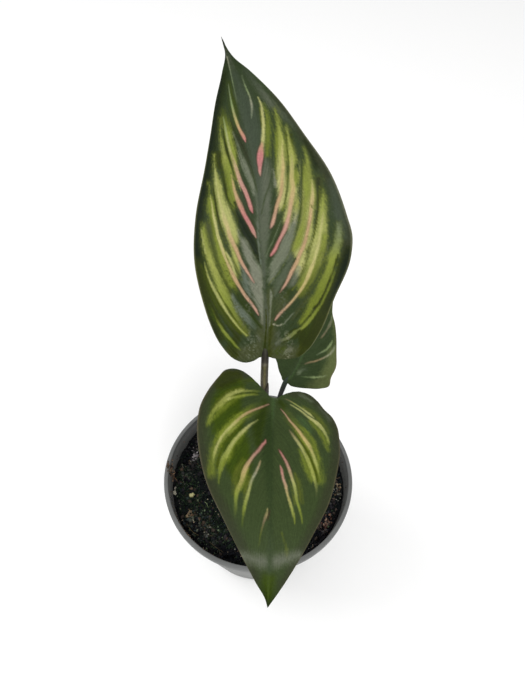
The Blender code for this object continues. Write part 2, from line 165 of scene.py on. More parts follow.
FRONT_BLADE = dict(
    base=(0.0052, -0.004, 0.143), heading=180, rise=(6, -2, -52), roll=(12, -8),
    length=72, half_width=25, fold=0.12, curl=0.12,
    waves=((1, 0.8, 34, 0.4), (-1, 1.0, 30, 2.0)),
    midrib=((0, 0.4), (19, 1.1), (45, 1.2), (71.4, 1.1)),
    left=((0, 0.4), (-0.3, 1.9), (-1.6, 3), (-3.8, 5.2), (-7.1, 8.5), (-10, 12.4), (-10.8, 16.2),
          (-9.7, 19.2), (-6, 21.4), (-1.4, 23.5), (3.8, 25.4), (8.8, 26.7), (13.6, 26.9), (23.9, 25.3),
          (34.9, 21.8), (45.3, 15.8), (54.6, 10.2), (63.7, 4.8), (68.4, 2), (71.4, 1.1)),
    right=((0, 0.4), (-0.3, -1.1), (-1.3, -2.2), (-3.1, -4.9), (-4.4, -8.7), (-3.7, -13.1), (-1.1, -16.2),
           (2.2, -18.6), (5.1, -21.7), (8.8, -23.5), (15.1, -23.8), (28.9, -21.1), (38.6, -18.3),
           (49.3, -12.5), (58.2, -7.3), (65.3, -2.9), (69, -0.5), (71.4, 1.1)),
    corners=(6, 5), rows=288, columns=78, strength=0.88, light=0.9, rim=("dust", 0.4),
    glow=("herb", 1.3, 2.8, 0.75), glowing=("band", "blush"),
    veins=((12.7, 0.71), (16.4, 0.61)))

REAR_BLADE = dict(
    base=(0.010, 0.022, 0.116), heading=25, rise=(32, -6, -6), roll=(3, 0),
    length=54, half_width=18, fold=0.16, curl=0.10,
    waves=((1, 0.9, 26, 1.2), (-1, 0.7, 30, 0.0)),
    midrib=((0, 0.5), (4, 2.3), (11, 3.2), (25, 3), (40, 1.5), (54, 0)),
    left=((0, 0.5), (0.3, -0.8), (1.7, -2), (3.4, -3.8), (6.4, -6), (9, -8.4), (15, -12), (23, -14),
          (31, -12.5), (39, -8.5), (46, -4), (51, -1.2), (54, 0)),
    right=((0, 0.5), (-0.2, 1.9), (-0.6, 3.5), (-0.3, 6), (1.1, 11), (3.2, 16.5), (5.4, 19.3), (9, 18.6),
           (14, 18.7), (20.2, 16.5), (25.6, 14.3), (31.8, 10.9), (35.4, 8.3), (40.8, 6.2), (47, 3.6),
           (51, 1.5), (54, 0)),
    corners=(4, 5), rows=180, columns=48, strength=0.75, light=0.95, rim=("dust", 0.4),
    glow=("olive", 0.6, 2.4, 0.4), glowing=("band",),
    veins=((2.0, 0.35), (2.0, 0.35)))

# Colours of the markings, as sRGB bytes. The hazy, silver and glare greys are painted reflections and sheen
# on the gloss of the blades; the first two also colour some dust flecks.
PALETTE = dict(
    black=(30, 38, 14), deep=(46, 58, 20), dark=(54, 66, 42), sea=(66, 76, 60), leaf=(58, 70, 42),
    sage=(90, 98, 79), grass=(66, 86, 52), brown=(72, 78, 50), umber=(44, 48, 30), maroon=(64, 46, 36),
    edge=(55, 60, 42), bog=(50, 57, 10), moss=(66, 76, 14), fir=(66, 78, 32), olive=(89, 97, 40),
    herb=(110, 121, 46), lime=(132, 142, 62), bright=(155, 160, 84), pale=(168, 170, 104),
    straw=(178, 176, 114), cream=(188, 184, 122), tan=(188, 168, 114), salmon=(188, 156, 118),
    pink=(193, 149, 133), rose=(196, 126, 124), dust=(130, 110, 88), mint=(118, 128, 102),
    haze=(95, 100, 84), sheen_silver=(118, 123, 104), lilac=(130, 132, 115), grey=(80, 86, 70),
    glare=(106, 115, 102), rim=(160, 157, 135), fern=(58, 73, 22), khaki=(88, 97, 60),
    sprout=(140, 156, 108), pine=(44, 57, 32))

# Each stroke is (kind, its colours from its first point to its last, points). A point is (x, y, half
# width) in millimetres on the flat blade. The strokes are laid over one another in this order. Strokes in
# the hazy, silver and glare greys are painted reflections and sheen.
TOP_MARKS = (
    ("field", "black", ((93, -15.9, 1), (85, -17.8, 2), (65, -21.5, 3), (49, -24.5, 3), (19, -22.3, 3),
        (8, -18.5, 3))),
    ("field", "edge", ((88, 1.5, 1.5), (76, 11.5, 2), (40, 29, 3.5), (30, 27, 3), (10, 20, 3))),
    ("field", "bog", ((34, -23.4, 1.4), (24, -21.3, 1.8), (8, -15, 1.4))),
    ("field", "black black bog bog", ((39, 28.5, 1.6), (32, 26.6, 2.2), (12, 18.6, 2.2), (6, 15.4, 1.8))),
    # Painted reflections on the gloss, near the tip and along the midrib
    ("cloud", "haze haze sea", ((104.5, -16.3, 0.5), (93, -11.6, 0.8))),
    ("field", "sea", ((93, -11.5, 1), (80, -6.4, 3), (66, -4.4, 2))),
    ("cloud", "sea haze sea", ((95, -8.5, 0.6), (81, 4.6, 0.9), (78, 8.2, 0.4))),
    ("cloud", "sea haze sage", ((68, -3.4, 0.7), (58, -2.3, 2.3), (47, -1.2, 2.3), (36, -0.9, 1),
        (30, -0.3, 0.8))),
    ("field", "brown", ((1, -12, 2), (1, -6, 3), (3, 0, 3.5), (2, 6, 3.5), (3, 13, 2.5))),
    ("field", "brown", ((8, 1, 4.2), (16, 1, 2.2), (24, 2.2, 1.6))),
    ("cloud", "bog", ((15, -12.9, 0.5), (11, -11.2, 0.9), (8, -9.4, 1.2), (4, -11.6, 1.5), (1, -10.4, 1.3))),
    ("cloud", "bog", ((13, 14.6, 0.6), (9, 13.6, 1.3), (5, 14.6, 1.1), (2, 13.2, 0.9))),
    ("cloud", "bog", ((-1, 1.9, 0.5), (12, 2.4, 0.4))),
    ("cloud", "haze", ((10.5, -5.2, 0.3), (7.5, -5.2, 0.4))),
    ("cloud", "haze", ((9.5, 5.4, 0.3), (6, 5.2, 0.5))),
    ("line", "rim mint sprout mint", ((98.6, -14.3, 0.15), (85.5, -10.9, 0.13))),
    ("glow", "fir", ((91, -13.6, 0.4), (80, -11.3, 0.9), (77.5, -11.2, 0.05), (75, -10, 0.05))),
    ("pink", "mint sprout tan rose", ((90.5, -13.7, 0.1), (87, -13.1, 0.22), (77, -9.8, 0.45),
        (74, -8.1, 0.4), (73.4, -7.9, 0.15))),
    ("glow", "black", ((79, -13, 0.3), (75, -12, 1), (69, -10.6, 0.6))),
    ("band", "fir lime lime lime", ((82.5, -15.4, 0.05), (77, -13.8, 1.1), (74, -13.2, 1.3),
        (71, -12.2, 1.1), (62, -10.6, 0.7))),
    ("streak", "sheen_silver", ((76, -12, 0.12), (72, -10.3, 0.29), (70, -9.8, 0.4), (66, -8, 0.95),
        (60, -5.4, 0.8), (57, -4.7, 0.4))),
    ("glow", "umber", ((75, -10.5, 0.35), (70, -7.7, 0.35), (63, -5.2, 0.05))),
    ("pink", "sprout straw pink rose", ((80.5, -15.2, 0.15), (77, -14.4, 0.32), (71, -13, 0.4),
        (66, -11.2, 0.6), (60.1, -8.9, 0.65), (58.1, -7.8, 0.65), (55, -6.5, 0.6), (52, -5.4, 0.5),
        (51, -5, 0.17))),
    ("line", "cream", ((61, -10.2, 0.15), (58, -9.1, 0.09))),
    ("band", "herb bright herb herb", ((80, -16, 0.05), (76, -16.1, 0.05), (73, -15.5, 0.6), (70, -15, 0.55),
        (67, -14.2, 1.5), (64, -13.6, 0.9), (61, -13.2, 1), (58, -12.6, 1), (56, -12.2, 1.9),
        (53, -11.3, 0.9))),
    ("streak", "lime", ((68, -13.4, 0.05), (64, -12.7, 0.6), (57, -11.2, 0.6), (55, -10.8, 0.17))),
    ("vein", "olive", ((82, -16, 0.05), (79, -15.5, 0.05), (75, -15, 0.27), (72, -14.3, 0.32),
        (70, -13.9, 0.23), (67, -12.8, 0.05), (62, -11, 0.18), (58.7, -9.9, 0.14))),
    ("streak", "black", ((54, -11, 0.12), (52, -10.5, 0.18), (46, -7.9, 1.4), (42, -5.4, 1.3),
        (36, -3, 0.75), (34.5, -2.5, 0.25))),
    ("pink", "tan salmon rose pink", ((63, -12.4, 0.08), (57, -10.8, 0.5), (53, -9.1, 0.75),
        (50, -7.6, 0.65), (47, -5.8, 0.65), (45, -4.7, 0.65), (42.8, -3.6, 0.15))),
    ("streak", "bog", ((69, -17, 1.1), (66, -16.6, 1.1), (64, -15.6, 0.4), (56, -13.7, 0.45),
        (54, -13, 0.21), (49, -10, 0.2))),
    ("band", "bright pale bright", ((69, -18.1, 0.05), (66, -17.9, 0.18), (58, -16.4, 1.4), (54, -15.5, 1.6),
        (50, -14.2, 2.2), (44, -11.9, 2.1), (38, -10.9, 1.2), (34, -9.8, 1.1), (30.5, -8.9, 0.25))),
    ("cloud", "glare", ((34, -8.2, 0.8), (26, -6.3, 1.2), (23, -5.4, 0.6))),
    ("glow", "lilac", ((45, -9.8, 0.05), (43, -9, 0.22), (41, -7.6, 0.95), (39, -6.9, 1.4), (33, -4.2, 1.8),
        (31, -3.4, 2.2), (25, -2.9, 2.3), (19, -1.3, 1.3), (13, -0.7, 0.35))),
    ("thin", "mint", ((34, -3, 0.13), (30, -1.6, 0.05))),
    ("thin", "sea", ((26.1, -5.9, 0.15), (22.1, -3.5, 0.05), (18.5, -1.1, 0.05))),
    ("pink", "pale cream salmon pink", ((64, -17.7, 0.21), (61, -17.4, 0.28), (58, -16.9, 0.2),
        (55, -16.2, 0.4), (52, -15.3, 0.4), (48, -14.1, 0.75), (46, -13.3, 0.65), (44, -12.8, 0.7),
        (42, -12, 0.7), (38, -10, 0.6), (36, -9.2, 0.6), (30.2, -5.8, 0.4), (27.5, -4, 0.15))),
    ("vein", "olive", ((60, -18.8, 0.17), (54, -17.6, 0.2), (51, -17.1, 0.09), (48, -16.2, 0.05),
        (45.9, -15.8, 0.05), (43.9, -14.9, 0.05), (40, -13.6, 0.05), (38, -12.7, 0.05), (36.1, -12, 0.05),
        (34.1, -10.8, 0.15), (30.1, -8.8, 0.05), (28.1, -8, 0.05))),
    ("band", "lime herb lime herb", ((60, -19.6, 0.05), (56, -19.3, 0.06), (54, -18.9, 1.2), (48, -18.2, 1),
        (34, -14.3, 1.8), (28, -12, 2.2), (26, -11.2, 0.9), (23.5, -10, 0.05))),
    ("line", "straw", ((38, -13.9, 0.15), (36, -12.8, 0.4), (33, -11.5, 0.45), (30, -10.6, 0.4),
        (27.5, -9.6, 0.21))),
    ("glow", "deep", ((24.5, -11, 0.2), (22, -8.8, 0.65), (16, -4.8, 0.95), (14, -3.4, 0.3),
        (11.5, -1.3, 0.2))),
    ("pink", "straw cream salmon pink", ((56, -19.2, 0.05), (53, -18.6, 0.21), (50, -18.1, 0.4),
        (47, -17.4, 0.55), (45, -16.9, 0.55), (43, -16.5, 0.55), (39, -15.1, 0.55), (37.1, -14.5, 0.5),
        (35.1, -13.7, 0.4), (33.1, -12.8, 0.55), (31.1, -11.9, 0.55), (29.1, -10.9, 0.65),
        (25.1, -8.5, 0.55), (23.1, -7.2, 0.55), (19.1, -4.1, 0.5), (17.6, -3.1, 0.5), (16.4, -2.4, 0.29),
        (15.7, -2.1, 0.15))),
    ("band", "brown fir black", ((46, -19.9, 0.8), (40, -18.9, 0.65), (37, -18, 0.4), (32, -16.3, 0.7),
        (28, -14.8, 0.5), (26, -13.8, 0.6), (23, -12, 0.12))),
    ("band", "lime bright lime olive", ((47, -21.6, 0.05), (42, -21, 0.8), (28, -16.6, 1.4), (22, -14, 1.7),
        (16, -10.8, 1.1), (12, -8.5, 1.3), (9, -6.2, 0.8))),
    ("line", "pale", ((45, -22.2, 0.08), (40, -21.3, 0.2), (37, -20.6, 0.15))),
    ("glow", "moss", ((33, -22.1, 0.3), (28, -20.6, 0.7), (12, -11.2, 0.85), (9, -8.4, 0.4))),
    ("vein", "moss", ((38, -21.5, 0.05), (29, -18.9, 0.05), (25, -17.1, 0.05), (23, -16, 0.2),
        (21, -14.8, 0.13), (17, -12.3, 0.35), (15, -11, 0.18), (10.6, -7.5, 0.05))),
    ("line", "bright pale pale bright", ((34, -21.1, 0.16), (31.1, -20.4, 0.21), (28, -19.4, 0.4),
        (26, -18.5, 0.55), (24.1, -17.6, 0.5), (22.1, -16.5, 0.55), (14.1, -11.5, 0.4), (12.1, -9.9, 0.3),
        (9.1, -7.2, 0.3), (8.1, -6.1, 0.2))),
    ("glow", "glare", ((23, -11.2, 0.35), (21, -10.8, 0.5), (15, -6.7, 1.3), (11, -3.2, 0.25))),
    ("glow", "fern", ((19, -19.3, 0.3), (16, -18.5, 0.6), (12, -16.4, 0.3), (6, -12.2, 0.8),
        (4, -10.4, 0.5))),
    ("line", "bog lime herb", ((19, -19, 0.15), (17, -18.2, 0.22), (15, -17.4, 0.05), (12.9, -16.4, 0.4),
        (9.4, -14.3, 0.5), (8.2, -13.4, 0.6), (6, -11.4, 0.4), (4, -9.8, 0.4), (3, -8.7, 0.25),
        (2.3, -8.2, 0.09))),
    ("glow", "brown", ((1.5, -5.5, 1.3), (2.5, -3.5, 1.7), (3.5, -2, 1.3))),
    ("streak", "haze", ((8, -2.5, 0.27), (6.5, -1.6, 0.55), (5.5, -1.2, 0.2))),
    ("line", "mint sprout rim mint", ((93.2, -9.5, 0.1), (90, -8.2, 0.22), (87.1, -6.8, 0.22),
        (82.5, -6, 0.25), (80.7, -6.1, 0.05))),
    ("cloud", "haze", ((68, -0.6, 0.6), (64, -0.6, 1.3), (52, -0.2, 0.8))),
    ("streak", "lilac", ((65, 1.5, 0.2), (60, 2.6, 0.7))),
    ("glow", "herb", ((85, -2.4, 0.11), (82, -1.1, 0.6), (80, -0.9, 0.95), (69.5, -0.5, 0.7))),
    ("vein", "olive", ((84, -3.6, 0.15), (81, -3, 0.25), (78, -2.8, 0.2))),
    ("line", "straw cream", ((87, -4.2, 0.15), (85, -3.2, 0.32), (83, -2.7, 0.4), (75, -2.2, 0.55),
        (73, -2.3, 0.55), (71, -2, 0.35), (69, -2, 0.21))),
    ("pink", "salmon rose rose pink", ((73, -2.5, 0.35), (71, -2.8, 0.8), (68, -3, 1), (66, -3, 0.65),
        (64, -2.9, 0.45), (62.9, -2.7, 0.09))),
    ("band", "lime bright straw cream", ((83.5, 1.5, 0.09), (78, 3, 0.65), (74, 3.6, 1.3), (68, 4, 1.5),
        (66, 4, 1.6), (60, 4.7, 1.6), (56, 4.7, 1.4), (51.5, 4, 0.26))),
    ("streak", "herb", ((78, 2, 0.05), (74, 2.3, 0.5), (66, 2.3, 0.05), (62, 2.6, 0.05))),
    ("glow", "leaf", ((52, 4.8, 0.2), (50, 4.1, 0.8), (44, 2.9, 1.1), (38, 0.8, 0.22))),
    ("thin", "mint", ((48.6, 4.6, 0.06), (42, 2.3, 0.14), (38, 0.5, 0.15), (36.5, 0, 0.05))),
    ("pink", "cream tan salmon pink", ((74, 4.2, 0.07), (70, 4.3, 0.33), (66, 4.7, 0.6), (64, 4.6, 0.55),
        (56, 3.9, 0.55), (55, 3.5, 0.55), (51, 2.6, 0.55), (47, 1.6, 0.45), (46.1, 1.2, 0.14))),
    ("band", "bright bright pale straw", ((78.5, 5.3, 0.05), (76, 5.9, 0.2), (70, 7.1, 1.4), (68, 7.4, 1.6),
        (66, 7.6, 0.7), (62, 7.7, 1.3), (56, 7.8, 1.4), (52, 7.3, 1.2), (49, 6.9, 1.3), (46, 7.5, 0.4))),
    ("streak", "bog herb lime", ((76, 6.8, 0.2), (66, 9, 0.18), (62, 9.2, 1.1), (60, 9.3, 0.5))),
    ("glow", "pale bright rim", ((59, 9.4, 0.7), (57, 9.4, 0.5), (54, 9.7, 1.1), (48, 9.3, 0.7))),
    ("line", "herb", ((76, 5.1, 0.05), (70, 5.9, 0.08), (64, 6.3, 0.05), (57, 6.1, 0.05), (53, 5.4, 0.25),
        (52, 5, 0.25))),
    ("glow", "sheen_silver", ((47, 8.6, 1.2), (44, 8.1, 1.7), (42, 7.1, 2.1), (38, 5.8, 2.4), (34, 3.6, 2),
        (28, 1.8, 0.8))),
    ("pink", "pale tan pink rose", ((70, 7.3, 0.06), (66, 7.6, 0.55), (62, 7.7, 0.7), (60, 8.2, 0.7),
        (54, 7.7, 0.65), (52, 7.5, 0.55), (46, 6.1, 0.65), (42, 4.3, 0.5), (38, 2.4, 0.55),
        (37.3, 1.9, 0.45), (36.7, 1.5, 0.14))),
    ("glow", "bright", ((68, 10.3, 0.05), (64, 10.4, 0.4), (60, 10.3, 0.05))),
    ("streak", "cream", ((62, 11.8, 0.8), (54, 11.6, 0.8))),
    ("cloud", "sage", ((40, 9.2, 0.5), (36, 8.6, 1.1), (26, 4.4, 1.2), (23, 3.6, 0.6))),
    ("band", "lime bright pale straw", ((72, 11.2, 0.05), (71, 11.7, 0.2), (63, 13.1, 1.2), (57, 14.2, 2),
        (55, 13.8, 2.1), (49, 13.5, 2.3), (43, 12.7, 2.7), (39, 11.5, 2.3), (37, 12.2, 1.8), (33, 11.8, 1.5),
        (31, 11.4, 0.75))),
    ("band", "lime", ((66, 12, 0.4), (60, 12.6, 1.1), (54, 12.6, 0.2), (44, 11.4, 0.7), (41, 10.5, 0.85),
        (39, 9.3, 0.05))),
    ("cloud", "lilac haze", ((33, 11.5, 0.5), (27, 9.2, 1), (26, 8.6, 0.4))),
    ("vein", "olive", ((64, 10.8, 0.15), (61, 11.2, 0.05), (57, 11.3, 0.05), (38, 7.9, 0.05),
        (32, 5.1, 0.05), (30.1, 3.9, 0.05), (28.2, 2, 0.05), (26.6, 1.1, 0.05))),
    ("pink", "cream salmon salmon pink", ((62, 14.3, 0.07), (58, 14.8, 0.45), (56, 14.8, 0.65),
        (54, 14.6, 0.55), (50, 14.4, 0.55), (46, 13.8, 0.45), (41, 12.8, 0.55), (37, 11.2, 0.55),
        (35, 10.6, 0.6), (33, 9.6, 0.6), (27, 6.9, 0.4), (24.2, 5.1, 0.09))),
    ("vein", "olive", ((54, 14.4, 0.15), (53.2, 14.8, 0.15))),
    ("cloud", "black", ((74, 11.6, 0.3), (66, 15.6, 0.5))),
    ("band", "umber deep", ((62, 16.5, 0.75), (57, 16.8, 0.5), (54, 16.7, 0.07))),
    ("cloud", "deep brown brown", ((26, 9.4, 0.3), (22, 6.6, 1.7), (15, 3.2, 0.3))),
    ("band", "lime pale herb", ((58.5, 18, 0.09), (58, 18.2, 0.22), (55, 18.2, 0.95), (51, 18.3, 1.4),
        (43, 18, 2.3), (39, 17.2, 2.4), (35, 16.5, 2.3), (33, 15.9, 1.8), (31, 15.2, 2), (26, 12.8, 1.3),
        (24, 12.4, 0.16))),
    ("band", "lime olive", ((44, 19.6, 0.7), (40, 19.2, 0.65), (37, 18.3, 0.24), (33, 17.2, 0.7),
        (26, 14.1, 0.8), (24, 12.7, 0.4))),
    ("vein", "olive", ((60, 16.9, 0.09), (56, 16.9, 0.21), (50, 16.7, 0.05), (42, 15.6, 0.05),
        (35, 13.7, 0.05), (31, 12.4, 0.05), (26.9, 10.6, 0.12), (25.4, 9.6, 0.35))),
    ("pink", "straw cream tan pink", ((52, 18.6, 0.05), (50, 18.5, 0.28), (44, 17.9, 0.34), (42, 17.8, 0.4),
        (40, 17.4, 0.45), (38, 16.9, 0.4), (35, 16.3, 0.5), (33, 15.6, 0.65), (31, 15, 0.65),
        (29, 14.2, 0.55), (26.9, 13.2, 0.5), (24.9, 12, 0.45), (21.9, 10, 0.4), (18.9, 7.5, 0.45),
        (16.9, 5.7, 0.45), (14.9, 4.3, 0.32), (14.2, 3.9, 0.14))),
    # Painted sheen along the right margin
    ("cloud", "sea", ((62, 20.6, 0.6), (50, 24.4, 1.6), (44, 26.2, 1))),
    ("line", "haze", ((42, 21, 0.05), (38, 20.4, 0.05), (36, 19.9, 0.05))),
    ("glow", "olive fir brown brown", ((37, 20.4, 0.05), (30, 18.4, 0.55), (27, 16.6, 0.4), (24, 15.2, 0.55),
        (15, 10, 0.3))),
    ("band", "mint lime herb herb", ((48, 24, 0.35), (45, 24.2, 1), (41, 23.8, 1.2), (37, 22.7, 1.8),
        (35, 22.3, 1.5), (31, 21.5, 1.5), (27, 20, 1.9), (23, 18.5, 1.8), (21, 17.2, 2), (19, 15.9, 1.2),
        (17, 15.2, 1), (14, 13.1, 0.65))),
    ("vein", "black", ((19.8, 17.8, 0.26), (18.8, 17.2, 0.22))),
    ("glow", "bog", ((36, 25.2, 0.22), (31, 24.4, 0.45), (21, 20.7, 0.65), (12, 14.4, 0.1), (9, 11, 0.5),
        (6, 7, 0.05))),
    ("vein", "bog", ((38, 24.5, 0.17), (37, 24.3, 0.27), (31, 22.7, 0.19), (29, 22.1, 0.35),
        (25, 20.7, 0.35), (20, 18.3, 0.35), (18.5, 17.2, 0.16), (16.9, 16.3, 0.12), (15.9, 15.4, 0.15),
        (13.9, 13.9, 0.05), (11.9, 12.2, 0.05), (10.9, 10.4, 0.24), (8.6, 7.9, 0.1))),
    ("line", "herb herb lime haze", ((35, 24.5, 0.05), (31, 23.5, 0.26), (18.9, 18.7, 0.4),
        (15.9, 16.7, 0.6), (13.9, 15.3, 0.65), (11.9, 13.5, 0.5), (10.4, 11.4, 0.55), (9.4, 10.3, 0.65),
        (7.5, 7.8, 0.55), (6.5, 5.8, 0.45), (5.5, 4.5, 0.5))),
    ("streak", "brown", ((11, 12.8, 0.35), (10.4, 12.2, 0.35))),
    ("line", "rim rim rim mint", ((12.7, 3.2, 0.15), (12.2, 5, 0.27), (13.2, 7.2, 0.1))),
    ("line", "sheen_silver", ((13.6, 7.4, 0.12), (15.1, 8.7, 0.16), (16.6, 9.7, 0.16), (17.3, 10.5, 0.1))),
    ("glow", "fir", ((2, 5, 0.9), (4, 7.5, 0.7))),
    ("cloud", "lilac", ((3.2, 9, 0.6), (3.8, 10, 0.7))),
    ("line", "rim", ((0.8, 9.2, 0.12), (1, 9.4, 0.12))),
    ("line", "mint", ((1.6, 8.7, 0.05), (2, 7.5, 0.05))),
    ("line", "mint", ((6.4, 9, 0.12), (6.6, 9.1, 0.12))),
    # Painted sheen along the midrib
    ("streak", "sea grey", ((90, -11.9, 0.15), (84, -9.8, 0.3), (68.5, -5, 0.19), (57, -3.1, 0.35),
        (40, -1.9, 0.11), (34, -0.9, 0.5), (23, 0, 0.2), (18, 0.5, 0.8), (11, 0.7, 0.7), (6, 0.6, 0.05))),
    ("line", "sea dark haze glare", ((88, -12, 0.05), (76, -7.9, 0.05), (66, -5.3, 0.05), (57, -3.9, 0.15),
        (48, -3.2, 0.18), (40, -2.7, 0.22), (34, -1.8, 0.15))),
    ("line", "sheen_silver", ((25, 1.9, 0.11), (23, 2.2, 0.55), (21, 2.1, 0.45), (18, 2.1, 0.22), (12, 2, 0.15))),
    ("glow", "leaf", ((5, 0.6, 0.8), (0, 0.6, 0.7))),
    ("vein", "bog", ((-0.3, 0.4, 0.6), (7, 0.6, 0.3), (12, 0.8, 0.15), (18, 0.5, 0.06))),
    ("flecks", "rim grey rim", ((9, 8.4, 0.9), (3, 9.6, 1.6), (0, 8.6, 1.2))),
    ("flecks", "sheen_silver", ((9, -5, 0.8), (6, -4.4, 1.7), (2, -4.6, 2.2), (-1, -4.2, 0.8))),
    ("flecks", "grey", ((10, 5, 1), (6, 5.5, 1.5), (2, 5.6, 1.3))),
    ("flecks", "haze", ((26, -4, 1.6), (18, -6, 1.6), (12, -8, 1))),
    ("flecks", "haze", ((24, 6, 1.4), (12, 7, 1))),
    ("flecks", "bog", ((27, 15.8, 0.4), (21, 13.8, 0.6), (12, 10, 0.4))),
    ("flecks", "bog", ((20, -10.6, 0.4), (10, -5, 0.3))),
    ("flecks", "bog", ((34, -14.2, 0.4), (24, -10.6, 0.4))),
    ("flecks", "bog", ((44, 14, 0.4), (38, 13.6, 0.5), (32, 12.4, 0.4))),
    ("vein", "bog", ((19.9, 17.9, 0.4), (19.2, 17.3, 0.3))),
    ("vein", "bog", ((16.7, 16.3, 0.25), (16.3, 15.8, 0.3))),
    ("vein", "bog", ((10.9, 12.9, 0.25), (10.3, 12.2, 0.35))),
    ("vein", "deep bog fern", ((76.9, -15.3, 0.08), (72.9, -14.6, 0.24), (66.3, -12.5, 0.24),
        (62.3, -11.2, 0.08))),
    ("vein", "fern bog fern", ((64.5, -15.9, 0.08), (59.1, -14.5, 0.26), (54.5, -13.1, 0.26),
        (52.1, -10.8, 0.08))),
    ("vein", "leaf bog bog moss", ((60.8, -18.6, 0.08), (56.2, -17.9, 0.26), (47, -15.9, 0.24),
        (42.3, -14.2, 0.08))),
    ("vein", "moss fir fir", ((76.6, 5.2, 0.08), (65.1, 6.5, 0.2), (59.2, 6.4, 0.2), (54.2, 5.6, 0.08))),
    ("vein", "leaf fir", ((73.6, 10.1, 0.08), (66.1, 10.7, 0.24), (54.3, 11.2, 0.24), (49.2, 10.7, 0.24),
        (44.9, 10, 0.08))),
    ("vein", "leaf bog bog moss", ((59.5, 16.4, 0.08), (54.9, 16.8, 0.2), (43.4, 15.9, 0.08))),
    ("vein", "leaf", ((64.7, 1.2, 0.08), (60.3, 0.5, 0.2), (55.9, -1, 0.2), (50.7, -2, 0.08))),
    ("vein", "edge leaf", ((73.2, -9.9, 0.08), (68.5, -7.5, 0.2), (63.2, -5.3, 0.2), (57.7, -3.6, 0.08))),
)

